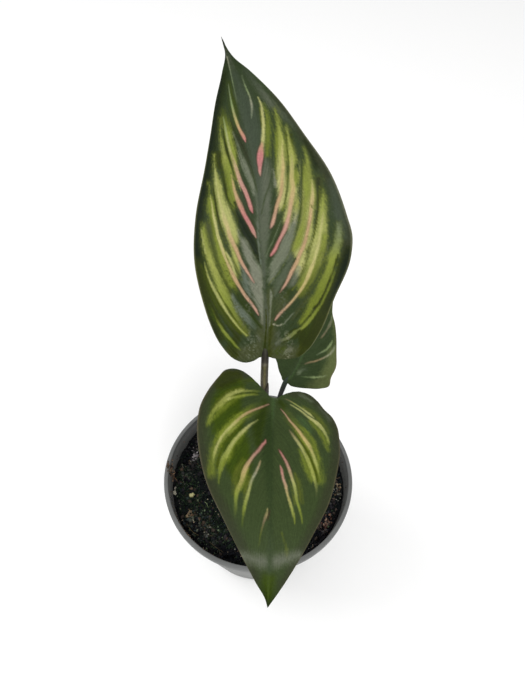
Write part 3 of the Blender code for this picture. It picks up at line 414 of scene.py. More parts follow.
FRONT_MARKS = (
    ("field", "fern", ((-3, 15, 3), (3, 17, 4.5), (28, 12, 4), (34, 10, 2.5))),
    ("field", "leaf", ((2, -9, 2.5), (16, -14, 5), (24, -13, 5), (32, -11, 3))),
    ("field", "edge", ((-8, 12, 2), (-9, 18, 2.5), (0, 24.5, 2.5), (35, 21.8, 3), (50, 13, 3),
        (62, 5.8, 2))),
    ("field", "edge", ((-3, -6, 1.5), (-3.4, -12, 2), (2, -18.6, 2.5), (8, -23.4, 2.5), (15, -24, 3),
        (29, -21.1, 3), (40, -17.6, 3), (64, -3.6, 1.5))),
    ("field", "bog", ((-7, 15, 2), (-5, 18, 3), (-2, 20, 2))),
    ("field", "deep", ((3, 3.6, 0.8), (14, 5.6, 1.8), (20, 5.8, 1))),
    ("field", "fir", ((-6.5, 8.5, 0.4), (-5, 12.5, 0.5))),
    ("field", "grass", ((8, -9.5, 0.8), (10, -11, 1.2), (13, -12.5, 0.6))),
    ("field", "deep", ((2, -2, 0.8), (3.5, -3, 1))),
    # Painted glare: a band of reflection across the blade
    ("field", "haze", ((55.5, 10, 1), (57.3, 1, 1.9), (55, -8, 1))),
    ("field", "fern", ((67.5, 1, 1.2), (62.6, 1.2, 1.8))),
    ("cloud", "pine dark", ((8, 1.6, 0.6), (16, 2.2, 1.8), (40, 1.2, 0.8), (60, 0.8, 0.8))),
    ("glow", "olive", ((-1, 12, 1.1), (1, 15.6, 1.5), (6, 20.2, 1), (13, 23.6, 0.11))),
    ("glow", "herb", ((1.5, 11.5, 0.2), (3.8, 14.4, 0.45), (8, 18.3, 1.2), (13, 21.6, 0.21))),
    ("streak", "herb pale bright herb", ((-1.6, 5.8, 0.27), (-0.9, 9.7, 0.4), (-0.5, 12.1, 0.7),
        (1.6, 15.9, 0.95), (4.7, 18.2, 1.1), (11.3, 22.1, 0.7), (14.4, 23.1, 0.7), (15.6, 23.4, 0.2))),
    ("line", "olive lime lime pale", ((0, 6.2, 0.05), (0.1, 7, 0.33), (0.9, 9.8, 0.45), (1.8, 12, 0.55),
        (2.7, 13.8, 0.45), (3.4, 15.6, 0.55), (4.5, 17.2, 0.5))),
    ("vein", "moss", ((-0.6, 6.5, 0.15), (-0.4, 8.4, 0.18), (0, 10, 0.05), (1.4, 13.6, 0.05),
        (3.3, 16.3, 0.05))),
    ("glow", "herb", ((12.5, 13.8, 0.5), (14.8, 15.8, 0.95), (20, 19.7, 0.35), (22.5, 20.4, 0.05))),
    ("glow", "lime", ((9.5, 12, 0.45), (15.5, 16.5, 0.7), (19, 18.8, 0.4))),
    ("streak", "lime pale pale", ((10, 9.9, 0.05), (15, 14.2, 0.75), (21, 18.1, 0.3))),
    ("blush", "pink salmon straw straw herb", ((3.4, 2.3, 0.18), (5.4, 5, 0.33), (7.6, 8.3, 0.4),
        (10, 11.1, 0.45), (11.4, 12.4, 0.45), (12.9, 13.6, 0.55), (17.4, 17, 0.4), (21.8, 19.2, 0.45),
        (24.7, 19.9, 0.45), (29.1, 20.4, 0.05), (31.5, 20.3, 0.17))),
    ("line", "herb", ((17, 18.5, 0.25), (18, 18.9, 0.25))),
    ("glow", "herb", ((16, 10, 0.3), (22, 14, 0.95), (27, 15.9, 0.8))),
    ("line", "straw straw pale lime herb", ((11, 6.1, 0.13), (13.3, 8.5, 0.35), (16, 10.8, 0.6),
        (18.9, 12.9, 0.5), (23.2, 15.3, 0.7), (27.6, 17, 1.1), (32.1, 17.9, 0.5), (35, 18, 0.17))),
    ("line", "herb", ((27, 16.1, 0.4), (29.4, 17, 0.27))),
    ("vein", "moss", ((12.3, 10.3, 0.05), (13.2, 11.2, 0.05), (17.6, 14.3, 0.19), (18.9, 15.3, 0.32),
        (23.2, 17.6, 0.1), (28.2, 18.7, 0.4), (30, 18.8, 0.25))),
    ("glow", "olive", ((27, 10.2, 0.65), (29.5, 11.6, 1.1), (38, 13, 0.5))),
    ("streak", "lime", ((29, 9.1, 0.5), (35, 10.1, 0.32), (37, 11.2, 0.15))),
    ("pink", "rose pink tan lime leaf", ((18.5, 3.1, 0.18), (19.4, 3.3, 0.4), (20.3, 4, 0.45), (22, 5, 0.5),
        (24.9, 7.1, 0.5), (30.6, 10, 0.75), (33.5, 10.6, 0.75), (36.5, 11.8, 0.65), (43.6, 12.2, 0.35),
        (45.5, 12.2, 0.04))),
    ("glow", "olive", ((32, 8.3, 0.7), (34, 8.8, 0.95), (39, 9.8, 0.12))),
    ("line", "salmon rim pale lime fir", ((26.4, 4.7, 0.1), (28.2, 5.2, 0.28), (34.1, 7.7, 0.45),
        (38.3, 8.6, 0.5), (39.9, 9.1, 0.55), (47.2, 9.9, 0.12))),
    ("streak", "maroon", ((42, 1.3, 0.2), (45, 1.9, 0.15))),
    ("line", "tan dust olive leaf", ((41.7, 1.9, 0.12), (43, 2.1, 0.3), (46.1, 3.2, 0.26), (48.9, 3.9, 0.17),
        (53.5, 4.5, 0.2))),
    ("glow", "sage", ((-2.8, -9.6, 0.65), (-0.7, -13.8, 0.45))),
    ("cloud", "grey", ((1.5, -16.5, 0.3), (6, -20.5, 0.5))),
    ("glow", "olive", ((2.5, -10.5, 0.3), (4.5, -13.5, 0.9), (9, -18, 1), (12, -19.8, 0.4))),
    ("glow", "herb", ((8.2, -13.2, 0.75), (15, -17.8, 1.2), (19.5, -18.8, 0.6))),
    ("line", "dust bright straw straw", ((-0.2, -3.8, 0.15), (0.5, -5.3, 0.24), (3.6, -10.4, 0.33),
        (5.8, -13.3, 0.45), (6.6, -14.3, 0.21))),
    ("line", "straw straw cream pale lime", ((2.2, -5.8, 0.17), (5, -10.2, 0.34), (6.2, -11.5, 0.4),
        (8.7, -15.4, 0.75), (11, -17.6, 0.75), (12.3, -18.3, 0.6), (14.9, -19.3, 0.4), (16.1, -19.4, 0.4),
        (17, -19.5, 0.15))),
    ("glow", "herb", ((12, -10.4, 0.33), (17, -13.6, 1), (24, -15.2, 0.4))),
    ("streak", "lime", ((13.5, -8, 0.6), (16, -9.4, 0.8), (21, -12.2, 0.25))),
    ("blush", "pink salmon tan pale herb", ((4.7, -2.2, 0.09), (7, -3.9, 0.29), (9.1, -5.2, 0.34),
        (12.2, -7.7, 0.5), (16.4, -10.5, 0.65), (19, -12, 0.7), (20.4, -12.6, 0.6), (27.3, -14.4, 0.5),
        (30.1, -15.1, 0.17), (31.6, -15.3, 0.04))),
    ("glow", "herb", ((21, -8.6, 0.34), (29, -11.7, 1.3), (31.5, -12.5, 0.8))),
    ("line", "dust straw bright bright brown", ((13.5, -5.2, 0.1), (15.7, -6.7, 0.45), (19.9, -9.2, 0.6),
        (22.7, -10.4, 0.6), (23.9, -11, 0.7), (25.3, -11.6, 0.6), (31.4, -13.3, 0.6), (35, -13.9, 0.22),
        (37, -13.9, 0.15))),
    ("vein", "moss", ((13.6, -6.8, 0.05), (21.2, -11.2, 0.35), (23.9, -12.3, 0.25), (25.3, -12.8, 0.4),
        (29.8, -14.1, 0.35), (32, -14.4, 0.21))),
    ("glow", "olive", ((30, -6.9, 0.4), (33, -7.9, 0.85), (39, -8.9, 0.45))),
    ("streak", "olive", ((32, -4.9, 0.05), (40, -6.9, 0.2))),
    ("pink", "rose pink pale lime herb", ((21.5, -1.5, 0.09), (22.3, -2, 0.3), (23.3, -2.6, 0.33),
        (28.1, -4.9, 0.5), (30.9, -5.7, 0.5), (36.4, -7.1, 0.5), (38, -7.3, 0.5), (42.8, -8.7, 0.35),
        (45.7, -9.2, 0.13))),
    ("line", "rose pink tan bright herb", ((27.4, -2, 0.1), (28.9, -2.4, 0.4), (31.7, -3, 0.45),
        (34.5, -3.9, 0.6), (35.9, -4.2, 0.45), (41.4, -5.8, 0.45), (44.6, -6.7, 0.3), (46, -6.8, 0.1))),
    ("streak", "olive olive haze", ((48.6, -2.6, 0.05), (52.1, -3.9, 0.17), (53.6, -4.2, 0.45),
        (57, -4.5, 0.1))),
    ("glow", "grass grass leaf", ((-0.5, 0.4, 0.8), (14, 0.9, 0.05))),
    ("glow", "haze", ((0, 0.4, 0.8), (-1, 0.4, 0.6))),
)

REAR_MARKS = (
    ("field", "brown khaki khaki", ((2, 12, 2), (6, 16, 3), (12, 17, 3), (20, 15, 2))),
    ("cloud", "khaki", ((5, 19.3, 0.8), (12, 18.8, 0.9), (40, 6.3, 0.6))),
    ("field", "leaf khaki", ((2, 9, 0.4), (4.4, 16.5, 1))),
    ("cloud", "mint sea", ((6, 4.6, 0.6), (7.6, 5.6, 0.6), (8.2, 7.4, 0.4))),
    ("glow", "khaki", ((9.5, 16.8, 0.4), (12, 16.9, 0.5), (17, 16.2, 0.3))),
    ("streak", "grass grass leaf", ((0, 0.6, 0.22), (3, 2.2, 0.45), (7.2, 2.9, 0.4), (25, 3, 0.31),
        (45, 0.8, 0.31))),
    ("blush", "dust salmon rim mint", ((10.4, 5.7, 0.1), (11.3, 6.6, 0.26), (13.1, 9.3, 0.29),
        (16.3, 12.6, 0.32), (19.1, 14.5, 0.4), (20.7, 14.9, 0.5), (22.5, 15, 0.27))),
    ("line", "mint sprout sprout", ((16.1, 9, 0.12), (20.1, 12.2, 0.45), (23.1, 13, 0.4), (24, 13, 0.17))),
    ("line", "grass sprout sprout mint", ((4.9, 6.4, 0.15), (5.2, 7.6, 0.14), (7.5, 13.8, 0.4),
        (8.3, 15.2, 0.25), (9.3, 16.3, 0.09))),
    ("line", "dust mint", ((23.4, 7.8, 0.15), (25.1, 8.4, 0.4), (28.1, 9, 0.45), (29.5, 9.1, 0.6),
        (33.1, 8.9, 0.35), (34.5, 8.4, 0.2))),
    ("line", "pale tan", ((37.2, 3.1, 0.1), (33.1, 5.9, 0.3), (29.5, 6.4, 0.12))),
    ("glow", "herb", ((30, -3, 0.05), (36, -5, 0.75), (42, -4, 0.24))),
    ("line", "pale salmon dust", ((40, -5.5, 0.1), (34, -6.1, 0.35), (28, -4.9, 0.35), (22.1, -1.3, 0.17))),
    ("glow", "herb", ((20, -7, 0.55), (26, -9, 0.85), (34, -9, 0.6))),
    ("line", "pale salmon lilac", ((33, -9.9, 0.15), (27, -9.5, 0.35), (20, -7.3, 0.45),
        (12.1, -1.3, 0.17))),
    ("line", "pale tan dust", ((24, -11.6, 0.13), (18, -9.4, 0.34), (11, -5.4, 0.3), (12.5, -6.2, 0.12))),
)

# How each kind of stroke is laid: (softness of its edge, strength, how far its edge wanders, relief)
KINDS = dict(
    field=(3.6, 1.0, 0.8, 0.0), cloud=(2.2, 0.85, 0.8, 0.0), glow=(1.9, 0.9, 0.7, 0.0),
    band=(1.7, 1.0, 0.55, 0.02), streak=(1.2, 0.9, 0.5, 0.0), line=(0.65, 0.95, 0.2, 0.04),
    pink=(0.6, 0.95, 0.12, 0.05), blush=(0.65, 0.95, 0.15, 0.05), thin=(0.4, 0.75, 0.1, 0.0),
    vein=(0.6, 1.0, 0.2, -0.07), flecks=(2.0, 0.6, 0.8, 0.02))
# Dust flecks: how many there can be in a millimetre, and the noise where one starts and is full
FLECKS_A_MM = 2.4
FLECK_LEVELS = (0.5, 0.78)
FLECK_SEED = 8
# The maroon halo round a pink line: how much wider it is, its softness and its strength, and the excess
# of red over green where it starts and over how much more it comes in
HALO = (0.3, 0.7, 0.55)
HALO_REDNESS = (15, 40)
# Share of the way to the margin where the glow round the bands starts and is full
GLOW_STARTS = (0.1, 0.45)
# How finely strokes (in mm) and curves are stepped, and how many random values the noise has each way
STROKE_STEP = 0.8
CURVE_PARTS = 16
LATTICE = 256
# How far the edges of strokes wander in mm, and the columns next to the margins that take the rim's colour
WANDER = 0.9
RIM_COLUMNS = ((0, 1), (1, 0.5), (-2, 0.5), (-1, 1))
# The ripple of the side veins: (height, width of one in mm along the midrib), and the shares of the way to
# the margin where it comes in and where it starts to go
RIPPLE = (0.05, 3.1)
RIPPLE_STARTS = (0.03, 0.15)
RIPPLE_STOPS = 0.85
# How much the blade thins at its margin and the power of the way to it, and how much of the upper side's
# relief the underside follows
EDGE_THINNING = (0.5, 12)
RELIEF_UNDER = 0.8
# How far apart the two halves lie in the noise of the veins
FLOW_SIDES = 5
# What the leaves' gloss adds to every colour, taken off the paint, and the darkest paint
SHEEN = 0.008
DARKEST = 0.002


def srgb(colour):
    """Linear colour of a colour given as sRGB bytes."""
    share = np.array(colour, float) / 255
    return np.where(share <= 0.04045, share / 12.92, ((share + 0.055) / 1.055) ** 2.4)


def read_at(places, table, columns):
    """Columns of a table, read at the places."""
    return np.stack([np.interp(places, table, column) for column in np.asarray(columns, float).T], axis=-1)


def curve_through(points, steps):
    """Smooth curve through the points, read at steps + 1 places at equal distances."""
    points = np.array(points, float)
    chord = np.linalg.norm(np.diff(points, axis=0), axis=1)
    slope = np.diff(points, axis=0) / chord[:, None]
    weight = (chord[:-1] / (chord[:-1] + chord[1:]))[:, None]
    tangent = np.vstack([slope[:1], slope[:-1] * (1 - weight) + slope[1:] * weight, slope[-1:]])
    t = np.linspace(0, 1, CURVE_PARTS + 1)[:, None]
    pieces = [points[:1]]
    for i, length in enumerate(chord):
        start = (2 * t ** 3 - 3 * t ** 2 + 1) * points[i] + (t ** 3 - 2 * t ** 2 + t) * length * tangent[i]
        end = (3 * t ** 2 - 2 * t ** 3) * points[i + 1] + (t ** 3 - t ** 2) * length * tangent[i + 1]
        pieces.append((start + end)[1:])
    fine = np.vstack(pieces)
    distance = np.concatenate([[0], np.cumsum(np.linalg.norm(np.diff(fine, axis=0), axis=1))])
    return read_at(np.linspace(0, distance[-1], steps + 1), distance, fine)


def smooth_step(low, high, value):
    """Share from 0 to 1 that rises smoothly as the value goes from low to high."""
    t = np.clip((value - low) / (high - low), 0, 1)
    return t * t * (3 - 2 * t)


def lattice_noise(u, v, seed):
    """Smooth noise from 0 to 1 over a lattice of random values."""
    table = np.random.default_rng(seed).random((LATTICE, LATTICE))
    low_u = np.floor(u).astype(int)
    low_v = np.floor(v).astype(int)
    u = u - low_u
    v = v - low_v
    u = u * u * (3 - 2 * u)
    v = v * v * (3 - 2 * v)
    here, there = low_u % LATTICE, (low_u + 1) % LATTICE
    near, far = low_v % LATTICE, (low_v + 1) % LATTICE
    low = table[here, near] * (1 - u) + table[there, near] * u
    high = table[here, far] * (1 - u) + table[there, far] * u
    return low * (1 - v) + high * v


def tube_faces(rings, count, flip=False):
    """Faces of a closed tube: rings of count points each, then its two ends."""
    faces = []
    for row in range(0, (rings - 1) * count, count):
        for j in range(count):
            k = (j + 1) % count
            faces.append((row + j, row + count + j, row + count + k, row + k))
    faces.append(tuple(range(count)))
    faces.append(tuple(range((rings - 1) * count, rings * count))[::-1])
    return [face[:1] + face[:0:-1] for face in faces] if flip else faces


def rings_along(path, across, sections):
    """Points of the sections, each set at right angles to the path with its second axis near across."""
    points = []
    for i, centre in enumerate(path):
        along = path[min(i + 1, len(path) - 1)] - path[max(i - 1, 0)]
        along = along / np.linalg.norm(along)
        out = np.cross(along, across)
        out = out / np.linalg.norm(out)
        side = np.cross(out, along)
        points.append(centre + sections[i][:, :1] * out + sections[i][:, 1:] * side)
    return np.concatenate(points)


class Shader:
    """A material and its node tree, built node by node."""

    def __init__(self, name):
        self.material = bpy.data.materials.new(name)
        self.material.use_nodes = True
        self.tree = self.material.node_tree
        self.surface = self.tree.nodes["Principled BSDF"]

    def set(self, node, values):
        for key, value in values.items():
            socket = node.inputs[key]
            if isinstance(value, bpy.types.NodeSocket):
                self.tree.links.new(value, socket)
            else:
                socket.default_value = value

    def add(self, kind, values, output=0, **settings):
        node = self.tree.nodes.new("ShaderNode" + kind)
        for key, value in settings.items():
            setattr(node, key, value)
        self.set(node, values)
        return node.outputs[output]

    def attribute(self, name, output):
        node = self.tree.nodes.new("ShaderNodeAttribute")
        node.attribute_name = name
        return node.outputs[output]

    def place(self):
        return self.add("TexCoord", {}, output="Object")

    def stretched(self, vector, factors):
        return self.add("VectorMath", {0: vector, 1: factors}, operation="MULTIPLY")

    def noise(self, vector, scale, detail, rough=0.55):
        return self.add("TexNoise", {"Vector": vector, "Scale": scale, "Detail": detail, "Roughness": rough})

    def spread(self, value, low, high, start=0.3, stop=0.7):
        return self.add("MapRange", {"Value": value, "From Min": start, "From Max": stop,
                                     "To Min": low, "To Max": high})

    def scaled(self, colour, factor):
        return self.add("VectorMath", {0: colour, "Scale": factor}, operation="SCALE")

    def mixed(self, factor, first, second):
        return self.add("Mix", {"Factor": factor, 6: first, 7: second}, output=2, data_type="RGBA")

    def product(self, first, second):
        return self.add("Math", {0: first, 1: second}, operation="MULTIPLY")

    def sum(self, first, second):
        return self.add("Math", {0: first, 1: second}, operation="ADD")

    def bump(self, height, distance, strength, normal=None):
        values = {"Height": height, "Distance": distance, "Strength": strength}
        if normal:
            values["Normal"] = normal
        return self.add("Bump", values)


def new_object(name, mesh, materials, body="root"):
    """Object with its materials, which rides the body if one is given."""
    thing = bpy.data.objects.new(name, mesh)
    bpy.context.scene.collection.objects.link(thing)
    for material in materials:
        mesh.materials.append(material)
    if body:
        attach(thing, body)
    return thing


def new_mesh(name, points, faces, tints=None, flow=None, slots=None):
    """Mesh with linear colours in "paint" and places among the veins in "flow"."""
    mesh = bpy.data.meshes.new(name)
    mesh.from_pydata(np.asarray(points).tolist(), [], faces)
    if tints is not None:
        layer = mesh.attributes.new("paint", "FLOAT_COLOR", "POINT")
        rgba = np.concatenate([tints, np.ones((len(tints), 1))], axis=1)
        layer.data.foreach_set("color", rgba.astype(np.float32).ravel())
    if flow is not None:
        layer = mesh.attributes.new("flow", "FLOAT_VECTOR", "POINT")
        layer.data.foreach_set("vector", flow.astype(np.float32).ravel())
    if slots is not None:
        mesh.polygons.foreach_set("material_index", slots)
    mesh.shade_smooth()
    mesh.update()
    return mesh


# Blades

def spine(blade, x):
    """Points, side directions and upward normals of the blade's middle plane at flat lengths x."""
    length = blade["length"] * MM
    start, slope, bend = blade["rise"]
    table_x = np.linspace(0, length, SPINE_STEPS + 1)
    u = table_x / length
    table_angle = np.radians(start + slope * u + bend * u * u)
    middle = (table_angle[1:] + table_angle[:-1]) / 2
    step = length / SPINE_STEPS
    ahead = np.concatenate([[0], np.cumsum(np.cos(middle) * step)])
    above = np.concatenate([[0], np.cumsum(np.sin(middle) * step)])
    angle = np.interp(x, table_x, table_angle)
    past = np.minimum(x, 0) + np.maximum(x - length, 0)
    ahead = np.interp(x, table_x, ahead) + past * np.cos(angle)
    above = np.interp(x, table_x, above) + past * np.sin(angle)
    heading = radians(blade["heading"])
    forward = np.array([sin(heading), cos(heading), 0.0])
    across = np.array([cos(heading), -sin(heading), 0.0])
    point = np.array(blade["base"]) + ahead[..., None] * forward + above[..., None] * UP
    normal = np.cos(angle)[..., None] * UP - np.sin(angle)[..., None] * forward
    first, more = blade["roll"]
    roll = np.radians(first + more * np.clip(x / length, 0, 1))[..., None]
    side = across * np.cos(roll) + normal * np.sin(roll)
    return point, side, normal * np.cos(roll) - across * np.sin(roll)


def blade_lift(blade, x, y):
    """Height of the blade over its middle plane: the fold, the hanging margins and their waves."""
    soft = FOLD_ROUND * MM
    half = blade["half_width"] * MM
    reach = np.abs(y) / half
    lift = blade["fold"] * (np.sqrt(y * y + soft * soft) - soft) - blade["curl"] * half * reach ** 2
    for side, height, length, phase in blade["waves"]:
        swell = height * MM * reach ** 2 * np.sin(2 * pi * x / (length * MM) + phase)
        lift = lift + np.where(y * side > 0, swell, 0)
    return lift


def blade_point(blade, x, y, over=0.0):
    """Point of the blade's surface, raised by over along its normal."""
    point, side, normal = spine(blade, x)
    return point + side * y[..., None] + normal * (blade_lift(blade, x, y) + over)[..., None]


def half_sheet(blade, side, corner):
    """Flat grid of one half: rows from the notch to the tip, columns from the midrib to the margin."""
    rows, columns = blade["rows"], blade["columns"]
    outline = curve_through(blade[side], OUTLINE_STEPS)
    split = int(np.argmin(np.linalg.norm(outline - np.array(blade[side][corner]), axis=1)))
    share = np.linspace(0, 1, columns + 1) ** COLUMN_POWER
    base = curve_through(outline[:split + 1:2], BASE_STEPS)
    base = read_at(share * BASE_STEPS, np.arange(BASE_STEPS + 1), base)
    margin = curve_through(outline[split::2], rows)
    margin[-1] = outline[-1]
    middle = curve_through(blade["midrib"], rows)
    along = np.linspace(0, 1, rows + 1)[:, None, None]
    ruled = middle[:, None] + share[None, :, None] * (margin - middle)[:, None]
    return ruled + (1 - along) ** BASE_FADE * (base - ruled[0])[None], share


def gap_to_stroke(x, y, points):
    """How far each place lies outside a stroke, negative within it, and its share of the stroke's way."""
    length = np.linalg.norm(np.diff(points[:, :2], axis=0), axis=1).sum()
    line = curve_through(points, max(2, int(length / STROKE_STEP)))
    spots = np.stack([x, y], axis=1)
    outside = np.full(len(x), np.inf)
    share = np.zeros(len(x))
    for i, (a, b) in enumerate(zip(line, line[1:])):
        ab = (b - a)[:2]
        t = np.clip(((spots - a[:2]) @ ab) / (ab @ ab), 0, 1)
        gap = np.linalg.norm(spots - a[:2] - t[:, None] * ab, axis=1) - (a[2] + t * (b[2] - a[2]))
        closer = gap < outside
        outside[closer] = gap[closer]
        share[closer] = (i + t[closer]) / (len(line) - 1)
    return outside, share


def lay_stroke(blade, tints, relief, places, stroke):
    """Lay a stroke over the tints and its height over the relief. places holds, for every point of the
    blade, its x and y, its share of the way from midrib to margin and how far an edge wanders there."""
    kind, names, points = stroke
    soft, strength, wild, height = KINDS[kind]
    glow_colour, glow_wider, glow_soft, glow_strength = blade["glow"]
    points = np.array(points, float)
    reach = points[:, 2].max() + soft + glow_wider + glow_soft
    low, high = points[:, :2].min(axis=0) - reach, points[:, :2].max(axis=0) + reach
    x, y = places[:2]
    near = np.flatnonzero((x > low[0]) & (x < high[0]) & (y > low[1]) & (y < high[1]))
    if len(near) == 0:
        return
    x, y, out, wander = (values[near] for values in places)
    outside, share = gap_to_stroke(x, y, points)
    stops = np.array([PALETTE[name] for name in names.split()], float)
    tint = read_at(share, np.linspace(0, 1, len(stops)), stops)

    def cover(colour, gap, blur, part):
        mask = smooth_step(-blur / 2, blur / 2, -gap) * part
        tints[near] += (colour - tints[near]) * mask[:, None]
        return mask

    if kind in blade["glowing"]:
        glow_strength = glow_strength * smooth_step(*GLOW_STARTS, out)
        cover(np.array(PALETTE[glow_colour]), outside - glow_wider - wander, glow_soft, glow_strength)
    if kind in ("pink", "blush"):
        wider, blur, part = HALO
        redness = np.clip((tint[:, 0] - tint[:, 1] - HALO_REDNESS[0]) / HALO_REDNESS[1], 0, 1)
        cover(np.array(PALETTE["maroon"]), outside - wider, blur, part * redness)
    if kind == "flecks":
        flecks = lattice_noise(x * FLECKS_A_MM, y * FLECKS_A_MM, FLECK_SEED)
        strength = strength * smooth_step(*FLECK_LEVELS, flecks)
    elif kind not in ("field", "cloud"):
        strength = strength * blade["strength"]
    relief[near] += height * cover(tint, outside - wander * wild, soft, strength)


def blade_rims(rows, width):
    """Vertex numbers round a grid whose last row is one point: base, right margin, tip, left margin."""
    base = list(range(width))
    right = [i * width + width - 1 for i in range(1, rows)]
    left = [i * width for i in range(rows - 1, 0, -1)]
    return base + right + [rows * width] + left


def grid_faces(rows, width, first, flip):
    """Faces of a grid of rows whose last row is one point."""
    faces = []
    for i in range(rows - 1):
        row = first + i * width
        for j in range(row, row + width - 1):
            face = (j, j + 1, j + 1 + width, j + width)
            faces.append(face[::-1] if flip else face)
    last = first + (rows - 1) * width
    tip = first + rows * width
    for j in range(last, last + width - 1):
        face = (j, j + 1, tip)
        faces.append(face[::-1] if flip else face)
    return faces


def rim_faces(upper, lower):
    """Faces between the rims of the fine upper side and of the coarser underside."""
    faces = []
    for i, corner in enumerate(lower):
        following = lower[(i + 1) % len(lower)]
        fan = [upper[(i * COARSER + k) % len(upper)] for k in range(COARSER + 1)]
        faces += [(corner, fan[0], fan[1]), (corner, fan[1], fan[2])]
        faces += [(corner, fan[2], following), (following, fan[2], fan[3])]
    return faces


def flat_grid(blade):
    """Flat x and y of the blade's points, each column's signed share from midrib to margin, its veins."""
    left, share = half_sheet(blade, "left", blade["corners"][0])
    right, share = half_sheet(blade, "right", blade["corners"][1])
    veins = blade["veins"]
    if blade["heading"] == 180:
        left, right = right, left
        veins = veins[::-1]
    flat = np.concatenate([left[:, :0:-1], right], axis=1)
    return flat[..., 0], flat[..., 1], np.concatenate([-share[:0:-1], share]), veins


def vein_places(x, across, veins):
    """Share out to the margin of every point, how far along its side vein it lies, and on which vein."""
    out = np.minimum(np.abs(across), FAR_OUT)[None, :] + np.zeros_like(x)
    far = -np.log(1 - out)
    sweep, widen = (np.where(across < 0, one, other)[None, :] for one, other in zip(*veins))
    return out, far, (x - far * sweep) / (1 + far * widen)


def paint_blade(blade, marks, ground, x, y, out, far, vein):
    """Tints of the blade's points as sRGB bytes, and the relief of the marks in millimetres."""
    wander = np.zeros_like(x)
    for u, v, seed in ((vein * 0.9, far * 6, 3), (vein * 2.6, far * 17, 4), (x * 3.1, y * 3.1, 5)):
        wander += WANDER * (lattice_noise(u, v, seed) - 0.5)
    tints = np.empty((x.size, 3))
    tints[:] = PALETTE[ground]
    relief = np.zeros(x.size)
    places = (x.ravel(), y.ravel(), out.ravel(), wander.ravel())
    for stroke in marks:
        lay_stroke(blade, tints, relief, places, stroke)
    tints = tints.reshape(*x.shape, 3)
    rim_colour, rim_part = blade["rim"]
    for column, part in RIM_COLUMNS:
        tints[:, column] += (np.array(PALETTE[rim_colour]) - tints[:, column]) * rim_part * part
    return tints, relief.reshape(x.shape)


def blade_offsets(blade, x, y, out, vein, relief):
    """Height of the upper side over the blade's middle plane, and depth of the underside below it."""
    height, width = RIPPLE
    ripple = height * np.sin(2 * pi * vein / width)
    ripple *= smooth_step(*RIPPLE_STARTS, out) * (1 - smooth_step(RIPPLE_STOPS, FAR_OUT, out))
    relief = (relief + ripple) * MM
    middle = x.shape[1] // 2
    fade = np.clip(1 - x[:, middle] / blade["length"], 0, 1)[:, None]
    rib = 0.5 + 0.5 * np.cos(pi * np.clip(np.abs(y - y[:, middle:middle + 1]) / RIB_HALF, 0, 1))
    sheet = THICK / 2 * (1 - EDGE_THINNING[0] * out ** EDGE_THINNING[1])
    over = sheet + RIB_OVER * fade * rib ** 2 + relief
    return over, sheet + RIB_UNDER * fade ** RIB_TAPER * rib - relief * RELIEF_UNDER


def blade_side(blade, x, y, offset, tints, flow, step):
    """Points, tints and vein places of one side: its rows and columns at every step, then the tip."""
    grid = (slice(None, -1, step), slice(None, None, step))
    tip = (slice(-1, None), x.shape[1] // 2)
    points, shades, flows = (
        np.concatenate([values[grid].reshape(-1, 3), values[tip]])
        for values in (blade_point(blade, x * MM, y * MM, offset), tints, flow))
    return points, shades, flows


def build_blade(name, blade, marks, ground, materials):
    x, y, across, veins = flat_grid(blade)
    out, far, vein = vein_places(x, across, veins)
    tints, relief = paint_blade(blade, marks, ground, x, y, out, far, vein)
    over, under = blade_offsets(blade, x, y, out, vein, relief)
    flow = np.stack([vein, far, np.sign(across)[None, :] * FLOW_SIDES + np.zeros_like(x)], axis=-1)
    top, top_tints, top_flow = blade_side(blade, x, y, over, tints, flow, 1)
    low, low_tints, low_flow = blade_side(blade, x, y, -under, tints, flow, COARSER)
    rows, width = x.shape[0] - 1, x.shape[1]
    low_rows, low_width = rows // COARSER, (width - 1) // COARSER + 1
    upper_faces = grid_faces(rows, width, 0, True)
    under_faces = grid_faces(low_rows, low_width, len(top), False)
    lower = [len(top) + i for i in blade_rims(low_rows, low_width)]
    edge_faces = rim_faces(blade_rims(rows, width), lower)
    slots = [0] * len(upper_faces) + [1] * len(under_faces) + [0] * len(edge_faces)
    shades = srgb(np.concatenate([top_tints, low_tints]))
    shades = np.maximum((shades - SHEEN) * blade["light"], DARKEST)
    mesh = new_mesh(name, np.concatenate([top, low]), upper_faces + under_faces + edge_faces, shades,
                    np.concatenate([top_flow, low_flow]), slots)
    piece = new_object(name + "_look", mesh, materials)
    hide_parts(name)


def leaf_top_material():
    shader = Shader("leaf_top")
    flow = shader.attribute("flow", "Vector")
    paint = shader.attribute("paint", "Color")
    streaks = shader.noise(shader.stretched(flow, (2.4, 4.0, 1.0)), 1.0, 4)
    threads = shader.noise(shader.stretched(flow, (9.0, 3.0, 1.0)), 1.0, 2)
    cells = shader.noise(shader.place(), 1400, 3)
    patches = shader.noise(shader.place(), 160, 3)
    light = shader.product(shader.spread(streaks, 0.84, 1.16), shader.spread(cells, 0.88, 1.12))
    light = shader.product(light, shader.spread(threads, 0.92, 1.08))
    height = shader.sum(shader.product(threads, 0.6), cells)
    shader.set(shader.surface, {
        "Base Color": shader.scaled(paint, light),
        "Roughness": shader.spread(patches, 0.36, 0.5),
        "Specular IOR Level": 0.09,
        "Normal": shader.bump(height, 0.00012, 0.5),
    })
    return shader.material


UNDER_COLOURS = ((0.020, 0.011, 0.014, 1), (0.060, 0.030, 0.036, 1))


def leaf_under_material():
    shader = Shader("leaf_under")
    flow = shader.attribute("flow", "Vector")
    streaks = shader.noise(shader.stretched(flow, (2.4, 4.0, 1.0)), 1.0, 4)
    cells = shader.noise(shader.place(), 900, 3)
    shader.set(shader.surface, {
        "Base Color": shader.mixed(shader.spread(streaks, 0, 1), *UNDER_COLOURS),
        "Roughness": shader.spread(cells, 0.42, 0.6),
        "Specular IOR Level": 0.35,
        "Normal": shader.bump(shader.sum(streaks, cells), 0.00012, 0.5),
    })
    return shader.material


